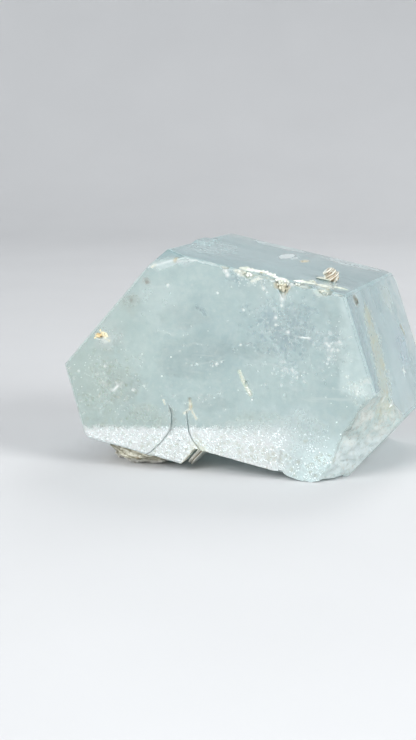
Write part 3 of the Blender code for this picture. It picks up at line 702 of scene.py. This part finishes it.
def inner_flecks(tree):
    """White flecks and short tubes inside the crystal, and slivers and crumbs in its skin."""
    chance = np.random.default_rng(11)
    bm = bmesh.new()
    seed = 0
    for middle, spread, count, size in FLECK_CLOUDS:
        for place in chance.normal(middle, spread, (count, 3)):
            seed += 1
            radii = size * chance.uniform(0.4, 1.0) * chance.uniform(0.5, 1.0, 3)
            if room(tree, place) > max(radii) * 1.35 + 0.1:
                lump(bm, at(*place), radii, random_turn(chance), seed)
    for _ in range(TUBE_COUNT):
        seed += 1
        place = (chance.uniform(-22, 24), chance.uniform(3, 38), chance.uniform(11, 37))
        if room(tree, place) > 2.6:
            lump(bm, at(*place), (0.05, chance.uniform(0.6, 1.8), 0.05), Euler((0, 0, 0)), seed)
    # The white dots and lines include the painted highlight along the top front edge, so slivers lie under
    # it too.
    for lines, thin, cover in (
        (WHITE_DOTS, 0.32, -0.1),
        (WHITE_LINES, 0.34, -0.06),
        (FAINT_LINES, 0.3, 0.22),
    ):
        for start, end, radius in lines:
            seed += 1
            sliver(bm, tree, start, end, radius * thin, cover, seed)
    for middle, spread, count, length, lean, _ in HAIRS:
        for start, end, _ in hairs(chance, middle, spread, count // 2, length, lean):
            seed += 1
            sliver(bm, tree, start, end, 0.055, 0.2, seed)
    for middle, spread, count, radius in SKIN_CRUMBS:
        for place in chance.normal(middle, spread, (count, 3)):
            seed += 1
            size = radius * chance.uniform(0.5, 1.3)
            sliver(bm, tree, place, place, size, -0.4 * size, seed)
    new_piece("inner_flecks", bm, fleck(), 60)


def foot_grains(tree):
    """White grains that brighten the band of painted sunlight along the foot, some in the crystal's skin
    and some behind it.
    """
    chance = np.random.default_rng(17)
    bm = bmesh.new()
    for left, right, low, over, count, size in FOOT_GRAINS:
        for seed in range(count):
            x = chance.uniform(left, right)
            top = FOOT_TOP + FOOT_SLOPE * x + over * chance.uniform(-0.5, 1)
            place = (x, 0.0, chance.uniform(low, top))
            radius = size * chance.uniform(0.4, 1.0)
            if room(tree, (x, 0.3, place[2])) > 0.1:
                sliver(bm, tree, place, place, radius, -0.4 * radius if seed % 2 else 0.2, seed)
    new_piece("foot_grains", bm, sunlit_band_grains(), 60)


def inner_veils():
    """Thin curved healed cracks inside the crystal, as closed sheets."""
    bm = bmesh.new()
    corners = 26
    rings = 7
    for index, (middle, across, up, facing) in enumerate(VEILS):
        turn = Vector(facing).to_track_quat("Z", "Y")
        sheets = []
        for side in (1, -1):
            points = []
            for ring in range(rings + 1):
                row = []
                for step in range(corners if ring else 1):
                    angle = math.tau * step / corners
                    cos, sin = math.cos(angle), math.sin(angle)
                    rim = 1 + 0.4 * noise.noise(Vector((cos * 1.6, sin * 1.6, index * 5.0)))
                    share = ring / rings
                    flat = Vector((cos * across, sin * up, 0)) * rim * share
                    bend = 0.9 * noise.noise(flat / 4 + Vector((0, 0, index * 3.0)))
                    flat.z = bend + side * 0.03 * (1 - share)
                    flat.rotate(turn)
                    row.append(at(*(Vector(middle) + flat)))
                points.append(row)
            sheets.append(points)
        made = [[[bm.verts.new(p) for p in row] for row in points] for points in sheets]
        made[1][rings] = made[0][rings]
        for side, points in enumerate(made):
            for ring in range(rings):
                for step in range(corners):
                    after = (step + 1) % corners
                    outer = [points[ring + 1][step], points[ring + 1][after]]
                    inner = [points[ring][after], points[ring][step]] if ring else [points[0][0]]
                    face = outer + inner
                    bm.faces.new(face if side == 0 else face[::-1])
    bm.normal_update()
    new_piece("inner_veils", bm, veil(), 60)


def chip_shells(tree):
    """Pale shells and clay crumbs in the chips along the top front edge, and in small marks elsewhere."""
    chance = np.random.default_rng(3)
    for name, material, shells, crumbs, rows, walls in (
        ("chip_shells", pale_clay(), PALE_SHELLS, PALE_CRUMBS, (*CREAM_LINES, *OLIVE_LINES), NOTCH_LINES),
        ("stained_shells", stained_clay(), STAINED_SHELLS, STAINED_CRUMBS, TAN_LINES, ORANGE_LINES),
    ):
        bm = bmesh.new()
        for index, (middle, radii, turn) in enumerate(shells):
            lump(bm, at(*middle), radii, Euler([math.radians(angle) for angle in turn]), index + 300, 3)
        for start, end, count, size in crumbs:
            for _ in range(count):
                share = chance.uniform()
                middle = Vector(start).lerp(Vector(end), share) + Vector(chance.normal(0, 0.22, 3))
                radii = size * chance.uniform(0.5, 1.0, 3)
                middle.y = max(middle.y, max(radii) * 1.4)
                lump(bm, at(*middle), radii, random_turn(chance), int(chance.integers(900)), 2)
        for start, end, radius in rows:
            if start[1] == end[1] == 0:
                crumb_row(bm, tree, chance, start, end, radius)
        for start, end in walls:
            wall_crumbs(bm, tree, chance, start, end, 0.24, 60, 0.26)
        new_piece(name, bm, material, 50)


def plate_outline(corners, radius, seed):
    """An irregular, angular outline of a mica plate, in millimetres."""
    chance = np.random.default_rng(seed)
    points = []
    for step in range(corners):
        angle = math.tau * (step + chance.uniform(-0.25, 0.25)) / corners
        points.append(Vector((math.cos(angle), math.sin(angle), 0)) * radius * chance.uniform(0.86, 1.06))
    return points


def add_plate(bm, outline, low, high, turn, foot):
    """A closed flat plate between two heights of a stack."""
    rings = []
    for share, scale in ((0, 0.96), (0.3, 1.0), (0.7, 1.0), (1, 0.95)):
        height = (1 - share) * low + share * high
        ring = []
        for point in outline:
            place = Vector((point.x * scale, point.y * scale, height))
            place.rotate(turn)
            ring.append(bm.verts.new(foot + place * MM))
        rings.append(ring)
    count = len(outline)
    for ring, above in zip(rings, rings[1:]):
        for step in range(count):
            after = (step + 1) % count
            bm.faces.new((ring[step], ring[after], above[after], above[step]))
    bm.faces.new(rings[0][::-1])
    bm.faces.new(rings[-1])


def fine_book():
    """The small mica book on the top face: irregular plates around a common axis."""
    low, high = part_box("mica_book")
    middle = (low + high) / 2
    radius = max(high - low) / MM / 2
    turn = Euler([math.radians(angle) for angle in BOOK_LEAN]).to_quaternion()
    bm = bmesh.new()
    count = 7
    for index in range(count):
        share = (index + 0.5) / count * 2 - 1
        size = radius * (0.98 - 0.42 * abs(share) ** 2.2 - 0.1 * (index % 2))
        height = share * radius * 0.86
        thick = radius * 0.86 / count
        outline = plate_outline(13, size, 40 + index)
        slip = [noise.noise(Vector(place)) for place in ((index, 0, 0.5), (0, index, 0.5))]
        outline = [point + Vector((*slip, 0)) * 0.16 for point in outline]
        add_plate(bm, outline, height - thick, height + thick * 0.72, turn, middle)
    for vertex in bm.verts:
        for axis in range(3):
            vertex.co[axis] = min(max(vertex.co[axis], low[axis]), high[axis])
    made = new_piece("book_plates", bm, pale_mica(), 25)
    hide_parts("mica_book")


def fine_crust():
    """The mica crust under the foot, split into thin leaves."""
    bm = fine_mesh("mica_crust", lambda face: CRUST_STEP)
    normals = {vertex: vertex.normal.copy() for vertex in bm.verts}
    for vertex, normal in normals.items():
        place = Vector((vertex.co.x, vertex.co.y - FRONT, vertex.co.z)) / MM
        if place.z < 0.02 or normal.z > 0.6:
            continue
        long = Vector((place.x * 0.35, place.y * 0.5, place.z * 1.3))
        wavy = 1.6 * noise.noise(long / 2.5) + 0.5 * noise.noise(long / 0.8)
        leaf = place.z * 1.2 + 0.34 * place.x + wavy
        split = abs(leaf - round(leaf)) * 2
        depth = 0.22 * split ** 2 + 0.16 * (1 + noise.fractal(place * 0.9, 0.8, 2.0, 4))
        vertex.co -= normal * depth * MM
        vertex.co.z = max(vertex.co.z, 0.0)
    made = new_piece("crust_leaves", bm, brown_mica(), 30)
    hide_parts("mica_crust")


# ---------------------------------------------------------------- materials


class Shader:
    """One material's nodes around its Principled BSDF. Places are in millimetres, as x, depth and z."""

    def __init__(self, name, **values):
        self.material = bpy.data.materials.new(name)
        self.material.use_nodes = True
        self.tree = self.material.node_tree
        self.surface = self.tree.nodes["Principled BSDF"]
        for socket, value in values.items():
            self.surface.inputs[socket.replace("_", " ")].default_value = value
        raw = self.tree.nodes.new("ShaderNodeTexCoord").outputs["Object"]
        self.place = self.vector("MULTIPLY_ADD", raw, (1 / MM,) * 3, (0, -FRONT / MM, 0))
        parts = self.node("ShaderNodeSeparateXYZ", {"Vector": self.place})
        self.x, self.depth, self.z = parts.outputs
        geometry_node = self.tree.nodes.new("ShaderNodeNewGeometry")
        facing = self.node("ShaderNodeSeparateXYZ", {"Vector": geometry_node.outputs["Normal"]})
        self.normal_x, self.normal_y, self.normal_z = facing.outputs

    def node(self, kind, inputs, **settings):
        made = self.tree.nodes.new(kind)
        for key, value in settings.items():
            setattr(made, key, value)
        for key, value in inputs.items():
            self.feed(made.inputs[key], value)
        return made

    def feed(self, socket, value):
        if isinstance(value, bpy.types.NodeSocket):
            self.tree.links.new(value, socket)
        else:
            socket.default_value = value

    def math(self, operation, a, b=0.0, c=0.0):
        return self.node("ShaderNodeMath", {0: a, 1: b, 2: c}, operation=operation).outputs[0]

    def vector(self, operation, a, b=(0, 0, 0), c=(0, 0, 0)):
        made = self.node("ShaderNodeVectorMath", {0: a, 1: b, 2: c}, operation=operation)
        return made.outputs["Value" if operation in ("LENGTH", "DOT_PRODUCT") else "Vector"]

    def noise(self, scale, detail=4.0, roughness=0.5, distortion=0.0, stretch=None):
        """Noise from 0 to 1; scale is in features per millimetre."""
        place = self.vector("MULTIPLY", self.place, stretch) if stretch else self.place
        inputs = {"Vector": place, "Scale": scale, "Detail": detail}
        inputs |= {"Roughness": roughness, "Distortion": distortion}
        return self.node("ShaderNodeTexNoise", inputs).outputs["Fac"]

    def patches(self, low, high, *settings, **more):
        """Patches of 0 and 1 where noise with these settings is below low and above high."""
        return self.ramp(self.noise(*settings, **more), low, high)

    def ramp(self, value, low, high):
        """0 below low, 1 above high, smooth between; low may be above high."""
        inputs = {"Value": value, "From Min": low, "From Max": high, "To Min": 0.0, "To Max": 1.0}
        return self.node("ShaderNodeMapRange", inputs, interpolation_type="SMOOTHSTEP").outputs["Result"]

    def mix(self, amount, below, above):
        made = self.node("ShaderNodeMix", {0: amount, 6: below, 7: above}, data_type="RGBA")
        return made.outputs[2]

    def paint(self, below, paint, *amounts):
        """A colour over the one below, by the product of these amounts."""
        return self.mix(self.times(*amounts), below, (*paint, 1))

    def blob(self, middle, radii, soft=0.35):
        """1 inside an egg, 0 outside, with a soft rim."""
        offset = self.vector("DIVIDE", self.vector("SUBTRACT", self.place, middle), radii)
        return self.ramp(self.vector("LENGTH", offset), 1 + soft, 1 - soft)

    def attribute(self, name, output="Fac"):
        return self.node("ShaderNodeAttribute", {}, attribute_name=name).outputs[output]

    def most(self, *amounts):
        """The largest of these amounts."""
        largest = amounts[0]
        for amount in amounts[1:]:
            largest = self.math("MAXIMUM", largest, amount)
        return largest

    def times(self, *factors):
        """The product of these factors."""
        product = factors[0]
        for factor in factors[1:]:
            product = self.math("MULTIPLY", product, factor)
        return product

    def scaled(self, colour, amount):
        """A colour times an amount."""
        return self.node("ShaderNodeVectorMath", {0: colour, "Scale": amount}, operation="SCALE").outputs[0]

    def line(self, value, slope, start):
        """A value times its slope, plus a start."""
        return self.math("MULTIPLY_ADD", value, slope, start)

    def bump(self, height, distance, strength=1.0, below=None):
        inputs = {"Height": height, "Distance": distance * MM, "Strength": strength}
        if below is not None:
            inputs["Normal"] = below
        return self.node("ShaderNodeBump", inputs).outputs["Normal"]

    def finish(self, colour, roughness, normal=None):
        self.feed(self.surface.inputs["Base Color"], colour)
        self.feed(self.surface.inputs["Roughness"], roughness)
        if normal is not None:
            self.feed(self.surface.inputs["Normal"], normal)
        return self.material


def water(s):
    """The crystal's pale blue-green, cloudy and zoned, with painted shade on the top face and along the
    front-right edge, and a painted highlight towards the back end.
    """
    clouds = s.patches(0.36, 0.64, 0.06, 6, 0.6)
    colour = s.mix(clouds, (0.46, 0.575, 0.57, 1), (0.56, 0.675, 0.655, 1))
    fog = s.patches(0.40, 0.66, 0.3, 8, 0.7)
    colour = s.paint(colour, (0.68, 0.76, 0.74), fog, 0.4)
    mottle = s.patches(0.36, 0.62, 0.8, 8, 0.78)
    colour = s.paint(colour, (0.36, 0.47, 0.49), s.line(mottle, -0.34, 0.34))
    left = s.ramp(s.x, -8.0, -28.0)
    colour = s.paint(colour, (0.60, 0.68, 0.61), left, 0.4)
    sides = s.ramp(s.math("ABSOLUTE", s.normal_y), 0.7, 0.4)
    colour = s.paint(colour, (0.43, 0.60, 0.64), sides, 0.5)
    # The top face a little darker and bluer: painted shade.
    colour = s.paint(colour, (0.22, 0.56, 0.60), s.ramp(s.normal_z, 0.8, 0.95), 0.2)
    bands = s.patches(0.36, 0.64, 0.13, 2, 0.5, 0.0, stretch=(0.3, 1.0, 0.3))
    colour = s.paint(colour, (0.72, 0.86, 0.88), bands, sides, 0.45)
    # The sides paler towards the back end: a painted highlight.
    painted_back_highlight = s.times(sides, s.ramp(s.math("ADD", s.depth, s.times(fog, 8.0)), 36.0, 48.0))
    colour = s.paint(colour, (0.80, 0.86, 0.86), painted_back_highlight, 0.6)
    front = s.ramp(s.normal_y, -0.7, -0.9)
    strip = s.times(front, s.ramp(s.x, 22.6, 23.8), s.ramp(s.math("ADD", s.z, fog), 17.0, 19.0))
    colour = s.paint(colour, (0.80, 0.92, 0.90), strip, s.line(fog, 0.3, 0.32))
    # Painted shade along the front-right edge: a dark strip on the front end and on the right face, above z
    # 16 to 18.5.
    right = s.vector("DOT_PRODUCT", s.place, RIGHT_FACE)
    edge = s.times(front, s.ramp(right, RIGHT_EDGE - 0.9, RIGHT_EDGE - 0.3))
    painted_edge_shade = s.math("MAXIMUM", edge, s.times(s.ramp(s.normal_x, 0.7, 0.9), s.ramp(s.depth, 6.5, 1.5)))
    colour = s.paint(colour, (0.36, 0.47, 0.50), painted_edge_shade, s.ramp(s.z, 16.0, 18.5), 0.5)
    scratches = s.patches(0.60, 0.72, 0.6, 6, 0.6, 0.3, stretch=(0.12, 1.0, 1.3))
    return s.paint(colour, (0.80, 0.87, 0.85), scratches, front, 0.35)


def painted_foot_sunlight(s, colour):
    """A band of painted sunlight at the foot, white and granular, with a fairly sharp ragged top at its
    shadow's edge, and a paler lower right.
    """
    top = s.line(s.x, FOOT_SLOPE, FOOT_TOP)
    above = s.math("SUBTRACT", s.z, top)
    ragged = s.line(s.noise(0.9, 8, 0.82), 4.6, s.math("SUBTRACT", above, 2.3))
    blurred = s.ramp(s.x, -5.0, 8.0)
    high, low = s.line(blurred, 1.6, 1.0), s.line(blurred, -2.0, -0.7)
    # The white band is painted sunlight below a shadow's edge.
    band = s.times(s.ramp(ragged, high, low), s.ramp(s.x, 17.0, 11.0))
    lime = s.times(s.ramp(above, 4.5, 0.3), s.patches(0.4, 0.6, 0.6, 5, 0.7))
    colour = s.paint(colour, (0.48, 0.55, 0.47), lime, 0.3)
    crumbs = s.patches(0.36, 0.52, 1.1, 8, 0.85)
    white = s.mix(crumbs, (0.80, 0.90, 0.88, 1), (1.0, 1.0, 1.0, 1))
    moss = s.times(s.patches(0.50, 0.62, 0.9, 8, 0.85), s.ramp(above, -2.2, -5.2))
    white = s.paint(white, (0.52, 0.55, 0.42), moss, 0.75)
    colour = s.mix(s.times(band, 0.97), colour, white)
    # The lower right painted paler: the same painted sunlight, fainter.
    pale = s.times(s.ramp(s.z, 11.0, 4.5), s.ramp(s.x, 9.0, 17.0))
    colour = s.paint(colour, (0.86, 1.0, 1.0), pale, 0.95)
    low = s.times(s.ramp(s.line(s.x, -0.03, s.z), 3.6, 1.4), s.patches(0.53, 0.62, 1.1, 7, 0.8))
    colour = s.paint(colour, (0.46, 0.50, 0.40), low, 0.4)
    return colour, band


def broken_corner(s, colour):
    """The rough pinkish-grey break at the lower right, and how much of it is here."""
    inside = s.vector("DOT_PRODUCT", s.vector("SUBTRACT", s.place, BREAK_PLACE), BREAK_FACING)
    broken = s.times(
        s.ramp(inside, -2.6, -1.6),
        s.ramp(s.z, 18.2, 17.2),
        s.ramp(s.normal_y, -0.93, -0.85),
        s.ramp(s.normal_x, 0.15, 0.3),
    )
    flesh = s.mix(s.patches(0.4, 0.6, 0.35, 8, 0.75), (0.66, 0.79, 0.77, 1), (0.88, 0.90, 0.84, 1))
    # Darker towards the break's inner rim: brown staining and painted shade.
    rim_stain_and_shade = s.times(s.patches(0.52, 0.62, 1.0, 7, 0.8), s.ramp(inside, 1.5, -1.0))
    flesh = s.paint(flesh, (0.44, 0.46, 0.40), rim_stain_and_shade, 0.6)
    rust = s.ramp(s.math("ABSOLUTE", s.math("SUBTRACT", s.noise(0.3, 6, 0.65, 1.0), 0.5)), 0.025, 0.0)
    flesh = s.paint(flesh, (0.36, 0.28, 0.20), rust, 0.45)
    white = s.times(s.ramp(s.z, 10.0, 6.0), s.patches(0.38, 0.56, 1.2, 7, 0.78))
    flesh = s.paint(flesh, (0.92, 1.0, 1.0), white)
    return s.mix(s.times(broken, 0.92), colour, flesh), broken


def marks(s, colour, grain):
    """The marks that the surface's points hold, a little crumbled."""
    thick = s.line(s.ramp(grain, 0.36, 0.56), 0.6, 0.4)
    left = s.line(s.times(s.attribute("marks", "Alpha"), thick), -1.0, 1.0)
    return s.vector("ADD", s.scaled(colour, left), s.scaled(s.attribute("marks", "Color"), thick))


def aquamarine():
    s = Shader("aquamarine", Transmission_Weight=0.52, IOR=1.577)
    water_depth = s.node("ShaderNodeVolumeAbsorption", {"Color": (0.78, 0.88, 0.88, 1), "Density": 26.0})
    s.tree.links.new(water_depth.outputs["Volume"], s.tree.nodes["Material Output"].inputs["Volume"])
    grain = s.noise(2.2, 6, 0.7)
    colour, band = painted_foot_sunlight(s, water(s))
    colour, broken = broken_corner(s, colour)
    # Pale paint along the edges at the left front, from the edge mask: a painted edge highlight.
    edge_wear_and_highlight = s.ramp(s.line(grain, 0.9, s.attribute("edge_wear_and_highlight")), 0.8, 1.25)
    near = s.times(s.ramp(s.depth, 20.0, 8.0), 0.55)
    colour = s.paint(colour, (0.94, 1.0, 0.99), edge_wear_and_highlight, s.ramp(s.x, 0.0, -14.0), near)
    colour = marks(s, colour, grain)
    rough = s.most(band, broken)
    roughness = s.line(s.noise(0.5, 5, 0.6), 0.2, 0.05)
    roughness = s.line(s.most(rough, s.attribute("edge_wear_and_highlight"), s.attribute("marks", "Alpha")), 0.35, roughness)
    swell = s.bump(s.noise(0.3, 4, 0.5), 0.15, 0.35)
    relief = s.bump(s.noise(1.6, 5, 0.6), 0.03, 0.35, swell)
    relief = s.bump(s.times(rough, grain), 0.14, 0.7, relief)
    return s.finish(colour, roughness, relief)


def fleck():
    s = Shader("white_inclusion", IOR=1.45)
    colour = s.mix(s.noise(1.0, 3), (0.80, 0.86, 0.84, 1), (0.97, 0.98, 0.96, 1))
    return s.finish(colour, s.line(s.noise(2.0, 3), 0.3, 0.4), s.bump(s.noise(5.0, 3), 0.03))


# The material of the white grains that brighten the band of painted sunlight at the foot.
def sunlit_band_grains():
    s = Shader("sunlit_band_grains", IOR=1.45)
    colour = s.mix(s.patches(0.38, 0.56, 0.9, 6, 0.75), (0.60, 0.70, 0.67, 1), (0.78, 0.86, 0.88, 1))
    low_left = s.times(s.ramp(s.z, 7.0, 2.5), s.ramp(s.x, 14.0, 6.0))
    olive = s.times(s.patches(0.50, 0.62, 1.1, 6, 0.8), low_left)
    colour = s.paint(colour, (0.46, 0.49, 0.37), olive, 0.45)
    return s.finish(colour, s.line(s.noise(2.0, 3), 0.3, 0.4), s.bump(s.noise(5.0, 3), 0.03))


def veil():
    s = Shader("veil", Transmission_Weight=0.75, IOR=1.45)
    patches = s.patches(0.4, 0.62, 0.9, 6, 0.7)
    colour = s.mix(patches, (0.74, 0.83, 0.83, 1), (0.96, 0.98, 0.97, 1))
    roughness = s.line(patches, 0.3, 0.3)
    return s.finish(colour, roughness, s.bump(s.noise(1.5, 5, 0.7), 0.08))


def pale_clay():
    s = Shader("pale_clay")
    colour = s.mix(s.patches(0.38, 0.6, 0.8, 6, 0.7), (0.48, 0.53, 0.45, 1), (0.64, 0.67, 0.60, 1))
    ridge = s.ramp(s.math("ABSOLUTE", s.math("SUBTRACT", s.x, 10.0)), 6.0, 4.0)
    whiter = s.times(ridge, s.patches(0.40, 0.56, 1.1, 5, 0.7))
    colour = s.paint(colour, (0.84, 0.86, 0.81), whiter)
    cream = s.times(s.ramp(s.x, 0.0, -4.0), s.ramp(s.z, 8.0, 9.0))
    colour = s.paint(colour, (0.76, 0.74, 0.62), cream, 0.7)
    notch = s.ramp(s.x, 0.0, -4.0)
    colour = s.paint(colour, (0.66, 0.67, 0.57), notch, s.ramp(s.z, 6.0, 5.0))
    specks = s.times(s.patches(0.54, 0.64, 1.4, 5, 0.7), s.line(ridge, -0.3, 0.6))
    colour = s.paint(colour, (0.40, 0.35, 0.24), specks)
    roughness = s.line(s.noise(1.5, 4), 0.3, 0.45)
    return s.finish(colour, roughness, s.bump(s.noise(2.5, 5, 0.7), 0.12))


def stained_clay():
    s = Shader("stained_clay")
    colour = s.mix(s.patches(0.40, 0.58, 0.9, 6, 0.7), (0.48, 0.45, 0.33, 1), (0.64, 0.63, 0.52, 1))
    colour = s.paint(colour, (0.28, 0.22, 0.13), s.patches(0.58, 0.66, 1.6, 5, 0.7), 0.5)
    yellow = s.mix(s.ramp(s.x, -25.2, -24.2), (0.98, 0.77, 0.44, 1), (0.92, 0.82, 0.54, 1))
    yellow = s.paint(yellow, (0.16, 0.09, 0.03), s.blob((-24.55, 0.5, 25.95), (0.42, 4.0, 0.26)))
    colour = s.mix(s.ramp(s.x, -18.0, -20.0), colour, yellow)
    roughness = s.line(s.noise(1.5, 4), 0.3, 0.5)
    return s.finish(colour, roughness, s.bump(s.noise(2.5, 5, 0.7), 0.12))


def brown_mica():
    s = Shader("brown_mica", Coat_Weight=0.25, Coat_Roughness=0.2)
    wavy = s.noise(0.4, 7, 0.7, stretch=(0.35, 0.5, 1.3))
    leaf = s.line(s.z, 1.2, s.line(s.x, 0.34, s.times(wavy, 4.0)))
    split = s.math("PINGPONG", leaf, 0.5)
    colour = s.mix(s.patches(0.42, 0.58, 0.5, 6, 0.7), (0.26, 0.24, 0.15, 1), (0.60, 0.58, 0.46, 1))
    colour = s.paint(colour, (0.90, 0.89, 0.78), s.ramp(split, 0.34, 0.44), 0.7)
    colour = s.paint(colour, (0.08, 0.06, 0.03), s.ramp(split, 0.12, 0.02), 0.8)
    colour = s.paint(colour, (0.98, 0.97, 0.90), s.ramp(s.z, 1.4, 0.5), 0.8)
    rust = s.patches(0.58, 0.66, 0.9, 5, 0.7)
    colour = s.paint(colour, (0.30, 0.17, 0.07), rust, 0.6)
    roughness = s.line(s.noise(2.0, 4), 0.4, 0.2)
    return s.finish(colour, roughness, s.bump(split, 0.2, 0.7))


def flake_mica():
    s = Shader("flake_mica", Coat_Weight=0.3, Coat_Roughness=0.15)
    across = s.vector("DOT_PRODUCT", s.place, (0.75, 0.0, -0.66))
    leaf = s.math("ABSOLUTE", s.math("ADD", across, s.line(s.noise(0.5, 4), 0.3, 6.25)))
    colour = s.mix(s.ramp(leaf, 0.06, 0.14), (0.24, 0.17, 0.09, 1), (0.97, 0.95, 0.86, 1))
    colour = s.paint(colour, (0.50, 0.46, 0.32), s.patches(0.58, 0.68, 1.2, 5, 0.7), 0.4)
    roughness = s.line(s.noise(2.0, 4), 0.3, 0.2)
    return s.finish(colour, roughness, s.bump(leaf, 0.1, 0.6))


def pale_mica():
    s = Shader("pale_mica", Coat_Weight=0.3, Coat_Roughness=0.15)
    along = s.vector("DOT_PRODUCT", s.place, (-0.544, -0.289, 0.788))
    leaf = s.math("PINGPONG", s.line(along, 1.35, s.times(s.noise(0.6, 4), 1.5)), 0.5)
    colour = s.mix(s.patches(0.42, 0.56, 1.1, 5, 0.7, 0.4), (0.36, 0.29, 0.19, 1), (0.60, 0.58, 0.49, 1))
    colour = s.paint(colour, (0.74, 0.73, 0.65), s.ramp(leaf, 0.3, 0.42), 0.8)
    colour = s.paint(colour, (0.88, 0.94, 0.88), s.ramp(s.x, 17.6, 16.9), 0.8)
    colour = s.paint(colour, (0.10, 0.07, 0.05), s.ramp(leaf, 0.14, 0.04), 0.8)
    colour = s.paint(colour, (0.52, 0.32, 0.16), s.patches(0.56, 0.64, 0.7, 3, 0.6), 0.4)
    roughness = s.line(s.noise(2.0, 4), 0.3, 0.3)
    return s.finish(colour, roughness, s.bump(leaf, 0.12, 0.7))


def floor_material():
    s = Shader("pale_floor", Roughness=0.85)
    colour = s.mix(s.noise(0.02, 2), (0.60, 0.61, 0.62, 1), (0.64, 0.65, 0.66, 1))
    return s.finish(colour, 0.85)


# ---------------------------------------------------------------- stage


def dish():
    """A round pale floor whose rim sweeps up into a backdrop on every side."""
    floor_radius, bend, height = 0.55, 0.35, 0.75
    profile = [(0.0, 0.0), (floor_radius, 0.0)]
    for step in range(1, 13):
        angle = math.pi / 2 * step / 12
        profile.append((floor_radius + bend * math.sin(angle), bend * (1 - math.cos(angle))))
    profile.append((floor_radius + bend, height))
    bm = bmesh.new()
    points = [bm.verts.new((radius, 0, z)) for radius, z in profile]
    for a, b in zip(points, points[1:]):
        bm.edges.new((a, b))
    outline = bm.verts[:] + bm.edges[:]
    bmesh.ops.spin(bm, geom=outline, axis=(0, 0, 1), cent=(0, 0, 0), steps=96, angle=math.tau)
    bmesh.ops.remove_doubles(bm, verts=bm.verts, dist=1e-5)
    bmesh.ops.recalc_face_normals(bm, faces=bm.faces)
    mesh = bpy.data.meshes.new("floor")
    bm.to_mesh(mesh)
    bm.free()
    mesh.shade_smooth()
    mesh.materials.append(floor_material())
    floor = bpy.data.objects.new("floor", mesh)
    bpy.context.scene.collection.objects.link(floor)


def area_light(name, place, size, power, colour=(1, 1, 1)):
    """A square soft light that faces the crystal's middle."""
    data = bpy.data.lights.new(name, "AREA")
    data.size = size
    data.energy = power
    data.color = colour
    light = bpy.data.objects.new(name, data)
    light.location = place
    target = Vector((0, 0, (LOW.z + HIGH.z) / 2))
    light.rotation_euler = (Vector(place) - target).to_track_quat("Z", "Y").to_euler()
    bpy.context.scene.collection.objects.link(light)


def lights():
    area_light("key", (-0.22, -0.62, 0.40), 0.35, 4.3)
    area_light("fill", (0.60, -0.22, 0.30), 0.35, 4.2)
    area_light("back", (0.05, 0.50, 0.55), 0.35, 1.5)
    world = bpy.data.worlds.new("studio")
    bpy.context.scene.world = world
    world.use_nodes = True
    background = world.node_tree.nodes["Background"]
    background.inputs["Color"].default_value = (0.93, 0.96, 1.0, 1)
    background.inputs["Strength"].default_value = 0.38


def camera():
    azimuth, elevation = math.radians(CAMERA_AZIMUTH), math.radians(CAMERA_ELEVATION)
    forward = Vector((
        -math.sin(azimuth) * math.cos(elevation),
        math.cos(azimuth) * math.cos(elevation),
        -math.sin(elevation),
    ))
    data = bpy.data.cameras.new("camera")
    data.lens = CAMERA_LENS
    data.sensor_width = 36.0
    data.clip_start = 0.01
    made = bpy.data.objects.new("camera", data)
    made.location = CAMERA_PLACE
    made.rotation_euler = forward.to_track_quat("-Z", "Y").to_euler()
    bpy.context.scene.collection.objects.link(made)
    bpy.context.scene.camera = made


def main():
    bpy.context.scene.view_settings.view_transform = "Standard"
    dish()
    lights()
    camera()
    fine_crystal()
    tree = solid_tree()
    inner_flecks(tree)
    foot_grains(tree)
    inner_veils()
    chip_shells(tree)
    fine_book()
    fine_crust()
    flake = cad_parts["mica_flake"].data
    flake.materials.clear()
    flake.materials.append(flake_mica())


main()
